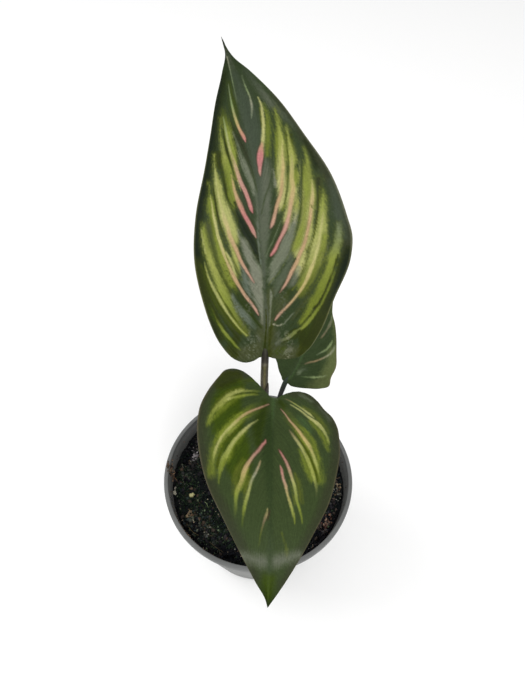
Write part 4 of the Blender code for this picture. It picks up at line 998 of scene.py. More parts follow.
# Stalks

def arc_section(inner, thick, reach, wrap):
    """Sheath's section round the shoot's axis, which lies reach behind the section's own centre."""
    share = np.linspace(-1, 1, RING_POINTS)
    outward = np.stack([np.cos(wrap * share), np.sin(wrap * share)], 1)
    outer = outward * (inner + thick * (1 - (1 - SHEATH_EDGE) * share ** 2))[:, None]
    return np.concatenate([outer, inner * outward * (1, -1)]) - np.array([reach, 0])


def round_section(radius):
    """Round section with as many points as a sheath's."""
    count = 2 * RING_POINTS
    turn = 2 * pi / count
    angle = -(RING_POINTS - 1) / 2 * turn + turn * np.arange(count)
    return np.stack([radius * np.cos(angle), radius * np.sin(angle)], 1)


def loft(path, facing, sections):
    """Points and faces of a tube through the sections, whose first axis points to facing."""
    across = np.array([cos(radians(facing)), -sin(radians(facing)), 0.0])
    return rings_along(path, across, sections), tube_faces(len(path), len(sections[0]))


def stalk_end(blade, bend, before, below, into, deep):
    """Last points of a stalk's path, in millimetres: in line with the blade, near its notch, then along
    the underside of its midrib for into, deep below its surface."""
    x = np.array([-bend, -before, into]) * MM
    y = np.full(3, blade["midrib"][0][1] * MM)
    y[2] = np.interp(into, *zip(*blade["midrib"])) * MM
    return list(blade_point(blade, x, y, -np.array([below, below, deep]) * MM) / MM)


def stalk_colours(path, sections, bands):
    """Linear colours of a stalk's points. bands holds (height, sRGB colours of the lit ridges, a painted
    highlight, and of the rest).
    """
    heights, ridge, rest = zip(*bands)
    heights = np.array(heights) * MM
    near = read_at(path[:, 2], heights, ridge)[:, None]
    far = read_at(path[:, 2], heights, rest)[:, None]
    turn = np.abs(np.linspace(-1, 1, len(sections[0])))
    lit_ridges = 0.5 + 0.5 * np.cos(2 * pi * turn * 2)
    return srgb(far + (near - far) * lit_ridges[:, None]).reshape(-1, 3)


# Each band: height in mm, then the colours of the lit ridges, a painted highlight, and of the rest
TOP_STALK_BANDS = (
    (45, (40, 34, 26), (28, 24, 20)), (120, (66, 60, 44), (40, 36, 28)), (134, (74, 66, 48), (46, 40, 32)),
    (136.5, (96, 90, 60), (54, 50, 38)), (148.8, (92, 88, 58), (50, 46, 34)),
    (149.6, (108, 104, 88), (72, 68, 58)), (150.3, (46, 42, 32), (32, 29, 24)),
    (153, (40, 38, 28), (30, 28, 20)), (155, (52, 56, 36), (44, 48, 30)), (158, (62, 68, 46), (56, 62, 42)))
SHEATH_BANDS = (
    (45, (44, 36, 28), (28, 22, 20)), (80, (56, 46, 36), (34, 28, 24)), (118, (60, 50, 38), (36, 30, 26)),
    (133, (50, 42, 34), (34, 28, 24)), (139, (48, 54, 48), (40, 50, 46)), (142, (46, 66, 56), (44, 62, 54)),
    (150, (44, 64, 50), (42, 60, 46)))
REAR_STALK_BANDS = (
    (45, (44, 36, 28), (28, 22, 20)), (85, (52, 42, 34), (32, 26, 24)), (100, (46, 42, 36), (30, 28, 26)),
    (113, (42, 42, 38), (30, 32, 32)), (116, (44, 56, 44), (38, 50, 40)), (122, (48, 68, 46), (46, 64, 44)))


def ridges(section, share):
    """Section with shallow ridges that run along the stalk and drift a little round it."""
    turn = np.linspace(0, 2 * pi, len(section), endpoint=False)
    return section * (1 + CORE_RIDGE * np.sin(RIDGE_COUNT * turn + RIDGE_DRIFT * share))[:, None]


def build_top_stalk(material):
    stalk = TOP_STALK
    steps = stalk["steps"] * STALK_FINER
    path = curve_through([*stalk["path"], *stalk_end(TOP_BLADE, *stalk["end"], *stalk["into"])], steps) * MM
    sections = []
    for i in range(len(path)):
        share = i / (len(path) - 1)
        radius = CORE_RADIUS + (TOP_PETIOLE - CORE_RADIUS) * smooth_step(*NARROWING, share)
        radius += (TOP_JOINT - TOP_PETIOLE) * smooth_step(*stalk["widening"], share)
        radius *= 1 - END_TAPER * smooth_step(*stalk["ending"], share)
        sections.append(ridges(round_section(radius), share))
    points, faces = loft(path, TOP_BLADE["heading"], sections)
    add_stalk("stalk_top", points, faces, stalk_colours(path, sections, TOP_STALK_BANDS), material)


def sheath_path(stalk, blade, reach):
    """Path of a sheathed stalk: held against the shoot, then free, then under its blade."""
    facing = radians(stalk["facing"])
    held = np.array(stalk["held"]) + np.array([sin(facing), cos(facing), 0.0]) * reach / MM
    points = [*held, *stalk["free"], *stalk_end(blade, *stalk["end"], *stalk["into"])]
    return curve_through(points, stalk["steps"] * STALK_FINER) * MM


def build_sheathed_stalk(name, stalk, blade, bands, material, scale=None):
    """Stalk that starts as a sheath round the shoot. scale is more skin that belongs to it."""
    inner, petiole, mouth = stalk["inner"], stalk["petiole"], stalk["mouth"]
    reach = inner + petiole
    path = sheath_path(stalk, blade, reach)
    low_wrap, high_wrap = stalk["wraps"]
    sections = []
    for i, centre in enumerate(path):
        share = i / (len(path) - 1)
        closing = smooth_step(mouth - SHEATH_CLOSING[0], mouth - SHEATH_CLOSING[1], centre[2])
        wrap = radians(low_wrap + (high_wrap - low_wrap) * closing)
        turning = smooth_step(mouth - SHEATH_TURNING, mouth, centre[2])
        radius = petiole + (stalk["joint"] - petiole) * smooth_step(*stalk["widening"], share)
        radius *= 1 - END_TAPER * smooth_step(*stalk["ending"], share)
        sheath = arc_section(inner, SHEATH, reach, wrap)
        section = sheath * (1 - turning) + round_section(radius) * turning
        ridge = np.sin(RIDGE_COUNT * np.linspace(0, 2 * pi, len(section)))
        sections.append(section * (1 + PETIOLE_RIDGE * turning * ridge)[:, None])
    points, faces = loft(path, stalk["facing"], sections)
    tints = stalk_colours(path, sections, bands)
    if scale:
        more, more_faces, more_tints = scale
        faces += [tuple(len(points) + corner for corner in face) for face in more_faces]
        points = np.concatenate([points, more])
        tints = np.concatenate([tints, more_tints])
    add_stalk(name, points, faces, tints, material)


# The pointed end of the front sheath: (height, angle of its left and of its right edge, distance from the
# youngest stalk's axis, thickness) in mm and degrees from +X
SHEATH_TIP = (
    (110, -170, 60, 1.60, 0.45), (120, -165, 48, 1.58, 0.45), (127, -150, 40, 1.56, 0.42),
    (131, -125, 32, 1.55, 0.40), (133.6, -95, 24, 1.54, 0.38), (135.2, -62, 14, 1.54, 0.32),
    (136.4, -36, 4, 1.55, 0.22), (137.4, -18, -6, 1.58, 0.06))
SCALE_COLOUR = (54, 49, 42)
SCALE_STEPS = 40
SCALE_SIDES = 16
SCALE_ROUND = 0.15
SHOOT_STEPS = 200


def sheath_tip():
    """Pointed end of the front sheath, wrapped round the front and the right of the youngest stalk."""
    heights = np.linspace(SHEATH_TIP[0][0], SHEATH_TIP[-1][0], SCALE_STEPS + 1)
    axis = curve_through(TOP_STALK["path"], SHOOT_STEPS)
    taper = np.sin(np.linspace(SCALE_ROUND, pi - SCALE_ROUND, SCALE_SIDES))[:, None] ** 0.5
    points = []
    for height, left, right, inner, thick in read_at(heights, [row[0] for row in SHEATH_TIP], SHEATH_TIP):
        centre = read_at(height, axis[:, 2], axis[:, :2])
        angle = np.radians(np.linspace(left, right, SCALE_SIDES))
        outward = np.stack([np.cos(angle), np.sin(angle)], 1)
        ring = np.concatenate([centre + outward * (inner + thick * taper), centre + outward[::-1] * inner])
        points.append(np.concatenate([ring, np.full((len(ring), 1), height)], 1) * MM)
    points = np.concatenate(points)
    tints = np.tile(srgb(SCALE_COLOUR), (len(points), 1))
    return points, tube_faces(SCALE_STEPS + 1, 2 * SCALE_SIDES, True), tints


def add_stalk(name, points, faces, tints, material):
    piece = new_object(name + "_look", new_mesh(name, points, faces, tints), [material])
    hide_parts(name)


def stalk_material():
    shader = Shader("stalk_skin")
    paint = shader.attribute("paint", "Color")
    place = shader.place()
    streaks = shader.noise(shader.stretched(place, (1500, 1500, 110)), 1.0, 4)
    flecks = shader.noise(place, 1500, 3)
    light = shader.product(shader.spread(streaks, 0.75, 1.25), shader.spread(flecks, 0.85, 1.15))
    shader.set(shader.surface, {
        "Base Color": shader.scaled(paint, light),
        "Roughness": shader.spread(flecks, 0.42, 0.65),
        "Specular IOR Level": 0.2,
        "Normal": shader.bump(streaks, 0.0001, 0.5),
    })
    return shader.material


# Pot

INNER_LIP = RIM_RADIUS - LIP_WIDTH
# Edges that turn by more than this many degrees stay sharp
SHARP_ANGLE = 40
POT_COLOURS = ((0.118, 0.121, 0.114, 1), (0.150, 0.153, 0.146, 1))
# Painted shade: the lip's grey is a slightly darker copy of the body's
LIP_SHADE_COLOURS = ((0.108, 0.112, 0.108, 1), (0.135, 0.139, 0.135, 1))
# How much darker the inner wall is above the soil, and the height over which that comes in
INNER_SHADE = 0.4
INNER_SHADE_DEPTH = 0.004
# Radii between which the inner wall's shade goes out
INNER_EDGE = (INNER_LIP - 0.0006, INNER_LIP + 0.0002)


def body_radius(height):
    """Outer radius of the pot's tapered body."""
    rise = (height - BODY_LOW_HEIGHT) / (POT_HEIGHT - LIP_DEPTH - BODY_LOW_HEIGHT)
    return BODY_LOW_RADIUS + rise * (BODY_TOP_RADIUS - BODY_LOW_RADIUS)


def rounded(corner, before, after, radius, steps=5):
    """Points of a small arc that takes a profile's sharp corner away."""
    corner, before, after = (np.array(p, float) for p in (corner, before, after))
    one = corner + (before - corner) / np.linalg.norm(before - corner) * radius
    two = corner + (after - corner) / np.linalg.norm(after - corner) * radius
    t = np.linspace(0, 1, steps + 1)[:, None]
    return list((1 - t) ** 2 * one + 2 * t * (1 - t) * corner + t ** 2 * two)


def pot_profile():
    """(radius, height) pairs from the floor's middle over the lip and down to the underside's middle.
    corners holds every corner and how much of it is rounded."""
    lip_foot = POT_HEIGHT - LIP_DEPTH
    inner_corner = FLOOR + INNER_CORNER
    corners = [
        ((0, FLOOR), 0),
        ((body_radius(FLOOR) - WALL - INNER_CORNER, FLOOR), 0.0008),
        ((body_radius(inner_corner) - WALL, inner_corner), 0.0008),
        ((body_radius(lip_foot) - WALL, lip_foot), 0.0002),
        ((INNER_LIP, lip_foot + LIP_STEP), 0.0002),
        ((INNER_LIP, POT_HEIGHT), 0.0007),
        ((RIM_RADIUS, POT_HEIGHT), 0.0008),
        ((RIM_RADIUS, lip_foot + LIP_STEP), 0.0002),
        ((BODY_TOP_RADIUS, lip_foot), 0.0002),
        ((BODY_LOW_RADIUS, BODY_LOW_HEIGHT), 0.0006),
        *(((BODY_LOW_RADIUS - inset, height), 0.0003) for inset, height in FOOT_ROUND),
        ((0, 0), 0),
    ]
    profile = [corners[0][0]]
    for (before, _), (corner, radius), (after, _) in zip(corners, corners[1:], corners[2:]):
        profile += rounded(corner, before, after, radius)
    profile.append(corners[-1][0])
    return profile


def lathe(profile, steps):
    """Points and faces of a turned solid whose profile starts and ends on the axis."""
    angle = np.linspace(0, 2 * pi, steps, endpoint=False)
    points = [(0, 0, profile[0][1])]
    for radius, height in profile[1:-1]:
        points += [(radius * cos(a), radius * sin(a), height) for a in angle]
    points.append((0, 0, profile[-1][1]))
    faces = []
    rings = len(profile) - 2
    for j in range(steps):
        k = (j + 1) % steps
        faces.append((0, 1 + j, 1 + k))
        for i in range(rings - 1):
            a = 1 + i * steps
            faces.append((a + j, a + steps + j, a + steps + k, a + k))
        last = 1 + (rings - 1) * steps
        faces.append((last + j, len(points) - 1, last + k))
    return points, faces


def drain_cutter():
    """Object with the round bars that cut the drainage holes."""
    bores = bmesh.new()
    for i in range(DRAIN_COUNT):
        angle = 2 * pi * i / DRAIN_COUNT + pi / 2
        made = bmesh.ops.create_cone(bores, cap_ends=True, segments=48, radius1=DRAIN_RADIUS,
                                     radius2=DRAIN_RADIUS, depth=4 * FLOOR)
        bmesh.ops.translate(bores, verts=made["verts"],
                            vec=Vector((DRAIN_CIRCLE * cos(angle), DRAIN_CIRCLE * sin(angle), 0)))
    mesh = bpy.data.meshes.new("drain_holes")
    bores.to_mesh(mesh)
    bores.free()
    return new_object("drain_holes", mesh, [], None)


def build_pot(material):
    points, faces = lathe(pot_profile(), POT_STEPS)
    pot = new_object("pot_look", new_mesh("pot", points, faces), [material])
    cutter = drain_cutter()
    boolean = pot.modifiers.new("drain", "BOOLEAN")
    boolean.object = cutter
    boolean.solver = "EXACT"
    graph = bpy.context.evaluated_depsgraph_get()
    mesh = bpy.data.meshes.new_from_object(pot.evaluated_get(graph))
    pot.modifiers.clear()
    pot.data = mesh
    bpy.data.objects.remove(cutter)
    mesh.set_sharp_from_angle(angle=radians(SHARP_ANGLE))
    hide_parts("pot")


def pot_material():
    shader = Shader("pot_plastic")
    place = shader.place()
    clouds = shader.noise(place, 45, 4)
    grain = shader.noise(place, 2600, 2)
    scuffs = shader.noise(shader.stretched(place, (160, 160, 900)), 1.0, 4)
    height = shader.add("SeparateXYZ", {0: place}, output="Z")
    # Painted shade: everything above the lip's step takes the darker grey
    lip_shading = shader.spread(height, 0, 1, POT_HEIGHT - LIP_DEPTH, POT_HEIGHT - LIP_DEPTH + LIP_STEP)
    body = shader.mixed(shader.spread(clouds, 0, 1), *POT_COLOURS)
    lip = shader.mixed(shader.spread(clouds, 0, 1), *LIP_SHADE_COLOURS)
    level = shader.stretched(place, (1, 1, 0))
    reach = shader.add("VectorMath", {0: level}, output="Value", operation="LENGTH")
    inside = shader.spread(reach, 1, 0, *INNER_EDGE)
    upper = shader.spread(height, 0, 1, SOIL_LEVEL - INNER_SHADE_DEPTH, SOIL_LEVEL)
    darker = shader.product(shader.product(inside, upper), INNER_SHADE)
    shade = shader.add("Math", {0: 1.0, 1: darker}, operation="SUBTRACT")
    light = shader.product(shader.spread(grain, 0.94, 1.06), shader.spread(scuffs, 0.95, 1.05))
    light = shader.product(light, shade)
    shader.set(shader.surface, {
        "Base Color": shader.scaled(shader.mixed(lip_shading, body, lip), light),
        "Roughness": shader.spread(scuffs, 0.44, 0.6),
        "Specular IOR Level": 0.4,
        "Normal": shader.bump(shader.sum(grain, scuffs), 0.00006, 0.35),
    })
    return shader.material


# Soil

SOIL_GRID = 125
SOIL_EDGE = body_radius(SOIL_LEVEL) - WALL - GAP
SOIL_CORNER = 0.003
# Dark, brown and mossy tones of the soil, and how much of the mossy one there can be
SOIL_TONES = ((8, 10, 16), (28, 26, 28), (15, 24, 22))
MOSSY_PART = 0.7
TONE_RATE = 700
MOSSY_RATE = 90
MOSSY_LEVELS = (0.45, 0.8)
# Painted light: how much lighter, of one, the soil's colours are at its right edge than at its middle
SOIL_PAINTED_LIGHT = 0.2


def soil_height(x, y):
    """Height of the soil's surface, with the swells of the solids and finer lumps."""
    rise = SOIL_LEVEL
    for height, rate, layer in SOIL_SWELLS:
        rise += height * noise.noise(Vector((x * rate, y * rate, layer)))
    for height, rate, layer in SOIL_LUMPS:
        size = abs(noise.noise(Vector((x * rate, y * rate, layer))))
        rise += height * (LUMP_SHAPE[0] - size * LUMP_SHAPE[1])
    near = np.hypot(x - SHOOT[0], y - SHOOT[1])
    return rise + SHOOT_MOUND[0] * float(np.exp(-(near / SHOOT_MOUND[1]) ** 2))


def disc_grid(count):
    """Points of a square grid drawn smoothly onto a disc of radius 1."""
    line = np.linspace(-1, 1, 2 * count + 1)
    a, b = np.meshgrid(line, line, indexing="ij")
    swap = np.abs(b) > np.abs(a)
    radius = np.where(swap, b, a)
    ratio = np.where(swap, a, b) / np.where(radius == 0, 1, radius)
    angle = np.where(swap, pi / 2 - pi / 4 * ratio, pi / 4 * ratio)
    return radius * np.cos(angle), radius * np.sin(angle)


def grid_rim(size):
    """Numbers of the points round the edge of a square grid."""
    ring = list(range(size)) + [i * size + size - 1 for i in range(1, size)]
    ring += range(size * size - 2, size * (size - 1) - 1, -1)
    return ring + [i * size for i in range(size - 2, 0, -1)]


def soil_shape():
    """Points and faces of the soil: its relief, its wall and its foot with a slanted corner."""
    disc_x, disc_y = disc_grid(SOIL_GRID)
    x = (disc_x * SOIL_EDGE).ravel()
    y = (disc_y * SOIL_EDGE).ravel()
    points = np.stack([x, y, [soil_height(a, b) for a, b in zip(x, y)]], 1)
    size = 2 * SOIL_GRID + 1
    faces = []
    for row in range(0, (size - 1) * size, size):
        faces += [(j, j + size, j + size + 1, j + 1) for j in range(row, row + size - 1)]
    ring = before = grid_rim(size)
    low = FLOOR + GAP
    wall = body_radius(low + SOIL_CORNER) - WALL - GAP
    for radius, height in ((wall, low + SOIL_CORNER), (wall - SOIL_CORNER, low)):
        below = list(range(len(points), len(points) + len(ring)))
        scale = radius / SOIL_EDGE
        foot = np.stack([x[ring] * scale, y[ring] * scale, np.full(len(ring), height)], 1)
        points = np.concatenate([points, foot])
        for i in range(len(ring)):
            k = (i + 1) % len(ring)
            faces.append((before[i], before[k], below[k], below[i]))
        before = below
    faces.append(tuple(before))
    return points, faces


def soil_tints(points):
    """Linear colours of the soil, in patches of the three tones, made lighter towards the right by painted
    light.
    """
    x, y = points[:, 0], points[:, 1]
    tone = lattice_noise(x * TONE_RATE, y * TONE_RATE, 21)
    green = lattice_noise(x * MOSSY_RATE + 7, y * MOSSY_RATE + 3, 22)
    dark, brown, moss = (srgb(colour) for colour in SOIL_TONES)
    tints = dark + (brown - dark) * (tone ** 2)[:, None]
    tints = tints + (moss - tints) * (smooth_step(*MOSSY_LEVELS, green) * MOSSY_PART)[:, None]
    return tints * (1 + 2 * SOIL_PAINTED_LIGHT * points[:, :1] / SOIL_EDGE)


def build_soil(material):
    points, faces = soil_shape()
    piece = new_object("soil_look", new_mesh("soil", points, faces, soil_tints(points)), [material])
    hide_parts("soil")


def lump(seed, detail, rough):
    """Points and faces of an irregular crumb of about unit radius."""
    ball = bmesh.new()
    bmesh.ops.create_icosphere(ball, subdivisions=detail, radius=1)
    points = np.array([v.co for v in ball.verts])
    faces = [tuple(v.index for v in f.verts) for f in ball.faces]
    ball.free()
    spread = np.array([noise.noise(Vector(p * 1.3) + Vector((seed * 7.1, 0, 0))) for p in points])
    fine = np.array([noise.noise(Vector(p * 3.1) + Vector((0, seed * 3.3, 0))) for p in points])
    return points * (1 + rough * spread + rough * 0.5 * fine)[:, None], faces


def turned_any_way(rng):
    """Random rotation matrix."""
    q = rng.normal(size=4)
    w, x, y, z = q / np.linalg.norm(q)
    return np.array([
        [1 - 2 * (y * y + z * z), 2 * (x * y - z * w), 2 * (x * z + y * w)],
        [2 * (x * y + z * w), 1 - 2 * (x * x + z * z), 2 * (y * z - x * w)],
        [2 * (x * z - y * w), 2 * (y * z + x * w), 1 - 2 * (x * x + y * y)]])


class Heap:
    """Many small shapes gathered into one mesh."""

    def __init__(self):
        self.points = []
        self.faces = []
        self.tints = []
        self.count = 0
        self.number = 0

    def put(self, points, faces, tint):
        self.points.append(points)
        self.faces += [tuple(self.count + corner for corner in face) for face in faces]
        self.tints.append(np.tile(srgb(tint), (len(points), 1)))
        self.count += len(points)
        self.number += 1

    def build(self, name, material):
        points, tints = np.concatenate(self.points), np.concatenate(self.tints)
        return new_object(name, new_mesh(name, points, self.faces, tints), [material])


def soil_spot(rng, reach=0.97):
    """Random place on the soil."""
    angle = rng.uniform(0, 2 * pi)
    radius = SOIL_EDGE * reach * np.sqrt(rng.uniform(0.01, 1))
    return radius * cos(angle), radius * sin(angle)


# Colours of crumbs, and how common each is
MOSSY = ((15, 22, 22), (28, 38, 30), (40, 51, 38), (23, 32, 34), (54, 66, 48), (70, 84, 62), (98, 110, 86))
EARTHY = ((8, 9, 15), (15, 16, 22), (27, 26, 29), (40, 37, 38), (58, 50, 44), (82, 68, 56), (68, 70, 68))
PALE = ((132, 124, 104), (112, 100, 82), (140, 138, 130), (98, 78, 60), (156, 148, 122), (84, 96, 84))
SHARES = (0.30, 0.24, 0.17, 0.13, 0.10, 0.045, 0.015)
CRUMB_SHAPES = 6
CRUMB_ROUGH = 0.75
# The higher it is, the more of the crumbs are small
SMALLER_POWER = 1.8
# Crumbs: (name, how many, smallest and largest radius in mm, detail, how much they gather in the moss,
# colours)
CRUMBS = (
    ("soil_moss_crumbs", 5200, 0.20, 0.75, 1, 1.0, MOSSY),
    ("soil_earth_crumbs", 2200, 0.25, 1.20, 2, 0.0, EARTHY),
    ("soil_grains", 900, 0.10, 0.45, 1, 0.3, PALE))
# Colours of the clusters that the photo shows
WHITISH = ((150, 144, 146), (176, 170, 172), (120, 114, 116), (96, 94, 92))
BEIGE = ((140, 122, 96), (112, 90, 68), (160, 142, 118), (88, 68, 52), (128, 128, 112))
DULL = ((124, 122, 108), (92, 78, 58), (146, 144, 132), (76, 78, 64))
RUSTY = ((140, 108, 88), (102, 70, 60), (76, 50, 46), (166, 140, 120))
WARM = ((66, 56, 54), (88, 76, 70), (52, 46, 48), (106, 92, 84), (74, 74, 74), (46, 46, 54))
COOL = ((44, 52, 50), (60, 64, 56), (38, 46, 48), (78, 82, 70), (54, 48, 44))
# Clusters: (x, y, reach along x, reach along y, how many, smallest and largest radius, colours) in mm
CLUSTERS = (
    (-32.6, 12.6, 1.5, 3.0, 44, 0.25, 0.85, WHITISH), (-34.2, 9.4, 1.6, 1.2, 14, 0.15, 0.4, DULL),
    (-31.4, -17.6, 1.5, 1.7, 26, 0.25, 0.85, BEIGE), (-30.4, -20.6, 1.2, 1.2, 12, 0.2, 0.6, BEIGE),
    (-21.2, -23.6, 1.1, 0.9, 12, 0.25, 0.65, DULL), (-23.6, -26.6, 1.4, 1.2, 12, 0.2, 0.5, DULL),
    (-28.3, -14.3, 0.5, 0.5, 4, 0.15, 0.35, DULL), (33.7, -17.6, 1.3, 2.0, 26, 0.25, 0.8, RUSTY),
    (38.6, -4.5, 1.2, 1.5, 12, 0.2, 0.55, DULL),
    (-36, -24, 1.5, 1.5, 12, 0.2, 0.5, BEIGE), (10, 24, 3.0, 3.0, 24, 0.25, 0.8, BEIGE),
    (-12, 30, 3.0, 2.0, 20, 0.2, 0.7, DULL), (24, 18, 2.0, 3.0, 20, 0.2, 0.7, WHITISH),
    (-4, -20, 2.0, 2.0, 20, 0.2, 0.7, RUSTY), (14, -26, 3.0, 1.5, 20, 0.2, 0.6, BEIGE),
    (35, -12, 4.0, 7.0, 50, 0.25, 0.9, WARM), (31, -23, 4.0, 3.0, 30, 0.25, 0.8, WARM),
    (32, -21, 1.2, 1.2, 16, 0.25, 0.7, RUSTY), (39.4, -1.5, 1.1, 1.5, 26, 0.2, 0.6, BEIGE),
    (39.4, -7, 1.0, 1.5, 18, 0.2, 0.55, DULL), (24, -31, 3.0, 2.0, 20, 0.2, 0.6, WARM),
    (-36, -2, 3.0, 6.0, 60, 0.25, 0.8, COOL), (-27, -22, 6.0, 5.0, 100, 0.25, 0.85, COOL),
    (-20, -30, 5.0, 3.0, 50, 0.25, 0.7, COOL))
# Single stones: (x, y, radius) in mm and colour
STONES = (
    ((-32.0, -8.2, 1.35), (168, 164, 118)), ((-40.1, -5.0, 0.75), (120, 116, 106)),
    ((-40.2, -7.3, 0.95), (150, 146, 130)), ((12, 22, 1.3), (150, 146, 126)),
    ((-6, 33, 1.1), (128, 120, 100)),
    ((26, 8, 1.2), (104, 86, 62)), ((-8, -24, 1.2), (150, 144, 132)), ((20, -20, 1.0), (100, 84, 62)))
STONE_ROUGH = 0.7
STONE_RISE = 0.45
CLUSTER_ROUGH = 0.9
CLUSTER_RISE = 0.5
CLUSTER_SPREAD = 0.6
CLUSTER_INSET = 0.001

# The mossy band that the photo shows at the left front, in mm, and how far from it moss starts and is full
MOSS_BAND = ((-38, 1), (-32, -10), (-24, -18), (-13, -27))
MOSS_REACH = (0.0075, 0.0040)
# Thin patches of moss elsewhere: their mean, swing, rate and layer of the noise, and the least there is
MOSS_PATCHES = (0.25, 0.5, 120, 31.0)
LEAST_MOSS = 0.05


def mossy(x, y):
    """How much moss grows at a spot, from 0 to 1: the band, and thin patches all over."""
    spot = np.array([x, y])
    gaps = []
    for a, b in zip(MOSS_BAND, MOSS_BAND[1:]):
        start, along = np.array(a) * MM, (np.array(b) - a) * MM
        t = np.clip((spot - start) @ along / (along @ along), 0, 1)
        gaps.append(np.linalg.norm(spot - start - t * along))
    mean, swing, rate, layer = MOSS_PATCHES
    patches = mean + swing * noise.noise(Vector((x * rate, y * rate, layer)))
    return min(max(float(smooth_step(*MOSS_REACH, min(gaps))), patches, LEAST_MOSS), 1.0)


def put_crumb(heap, rng, shape, spot, size, tint, rise=0.3):
    """Put a squashed and turned crumb on the soil, its middle raised by rise of its size."""
    points, faces = shape
    squash = np.array([1.0, rng.uniform(0.55, 1.0), rng.uniform(0.45, 0.9)])
    points = (points * squash * size) @ turned_any_way(rng).T
    heap.put(points + np.array([*spot, soil_height(*spot) + size * rise]), faces, tint)


def build_crumbs(material):
    for seed, (name, count, low, high, detail, gather, colours) in enumerate(CRUMBS):
        rng = np.random.default_rng(11 + seed)
        shapes = [lump(10 * seed + k, detail, CRUMB_ROUGH) for k in range(CRUMB_SHAPES)]
        heap = Heap()
        while heap.number < count:
            x, y = soil_spot(rng)
            if rng.random() > 1 - gather + gather * mossy(x, y):
                continue
            size = (low + (high - low) * rng.random() ** SMALLER_POWER) * MM
            shares = np.array(SHARES[:len(colours)])
            tint = np.array(colours[rng.choice(len(colours), p=shares / shares.sum())])
            # Painted light: the crumbs too are lighter towards the right
            tint = tint * rng.uniform(0.8, 1.2) * (1 + SOIL_PAINTED_LIGHT * x / SOIL_EDGE)
            put_crumb(heap, rng, shapes[rng.integers(len(shapes))], (x, y), size, tint)
        heap.build(name, material)


def build_stones(material):
    rng = np.random.default_rng(15)
    heap = Heap()
    for i, ((x, y, size), tint) in enumerate(STONES):
        shape = lump(50 + i, 3, STONE_ROUGH)
        put_crumb(heap, rng, shape, (x * MM, y * MM), size * MM, np.array(tint), STONE_RISE)
    shapes = [lump(70 + k, 2, CLUSTER_ROUGH) for k in range(CRUMB_SHAPES)]
    for x, y, across, along, count, low, high, colours in CLUSTERS:
        for _ in range(count):
            spread = rng.normal(size=2) * np.array([across, along]) * CLUSTER_SPREAD
            spot = (np.array([x, y]) + spread) * MM
            spot *= min(1, (SOIL_EDGE - CLUSTER_INSET) / np.hypot(*spot))
            size = rng.uniform(low, high) * MM
            tint = np.array(colours[rng.integers(len(colours))]) * rng.uniform(0.7, 1.1)
            put_crumb(heap, rng, shapes[rng.integers(len(shapes))], spot, size, tint, CLUSTER_RISE)
    heap.build("soil_stones", material)


# Moss: thin pointed blades, with their lengths, how far they lean, half widths and depth in the soil
MOSS_BLADES = 5200
MOSS_HEIGHTS = (0.0004, 0.0014)
MOSS_LEAN = 0.7
MOSS_WIDTHS = (0.00008, 0.00016)
MOSS_ROOT = 0.0003
MOSS_COLOUR = (34, 56, 34)
MOSS_YELLOWER = (12, 10, 4)


def build_moss(material):
    rng = np.random.default_rng(13)
    heap = Heap()
    faces = [(0, 1, 3), (1, 2, 3), (2, 0, 3), (0, 2, 1)]
    while heap.number < MOSS_BLADES:
        spot = np.array(soil_spot(rng))
        if rng.random() > mossy(*spot) ** 2:
            continue
        height = rng.uniform(*MOSS_HEIGHTS)
        lean = rng.normal(size=2) * height * MOSS_LEAN
        turns = rng.uniform(0, 2 * pi) + np.arange(3) * 2 * pi / 3
        wide = rng.uniform(*MOSS_WIDTHS)
        foot = [(wide * cos(turn), wide * sin(turn), -MOSS_ROOT) for turn in turns]
        points = np.array([*foot, (lean[0], lean[1], height)])
        tint = np.array(MOSS_COLOUR) * rng.uniform(0.5, 1.5) + np.array(MOSS_YELLOWER) * rng.random()
        heap.put(points + np.array([*spot, soil_height(*spot)]), faces, tint)
    heap.build("soil_moss", material)


def thread(path, radius, sides=6):
    """Points and faces of a thin round thread along a path in metres."""
    angle = np.linspace(0, 2 * pi, sides, endpoint=False)
    ring = np.stack([np.cos(angle), np.sin(angle)], 1)
    thins = radius * (1 - THREAD_TAPER * np.linspace(0, 1, len(path)) ** 3)
    return rings_along(path, UP + 0.01, thins[:, None, None] * ring), tube_faces(len(path), sides, True)


# Threads that the photo shows: points (x, y, height over the soil) in mm, half thickness in mm, colour
THREADS = (
    (((-26.6, -11.8, 0.6), (-25.2, -12.0, 1.6), (-23.9, -13.2, 1.4), (-23.4, -14.6, 0.4)), 0.13,
     (120, 134, 96)),
    (((-42.4, 1.0, 3.5), (-40.8, -0.6, 1.5), (-38.4, -2.2, 0.6), (-36.2, -2.0, 0.4)), 0.18, (96, 74, 54)),
    (((36.0, 2.6, 0.5), (38.0, 2.0, 1.5), (40.4, 2.6, 1.0)), 0.2, (92, 76, 60)),
    (((-22, -30, 0.4), (-18, -33, 0.9), (-14, -35, 0.5)), 0.12, (80, 72, 54)),
    (((-33, -22, 0.4), (-30, -26, 1.0), (-26, -28, 0.4)), 0.13, (92, 82, 56)))
THREAD_PARTS = 24
# How much a thread thins to its end
THREAD_TAPER = 0.6
# Loose threads: how many, the part of the soil where they start, their radii and sides, the length, number
# and bend of their steps, how high they arch and lie, and how far they stay from the wall
THREAD_COUNT = 70
THREAD_REACH = 0.9
LOOSE_SIDES = 5
THREAD_RADII = (0.00005, 0.00013)
THREAD_STEP = 0.0007
THREAD_STEPS = 8
THREAD_BEND = 0.4
THREAD_ARCH = 0.0005
THREAD_LIFT = 0.00015
THREAD_INSET = 0.0004
THREAD_COLOUR = (92, 74, 54)


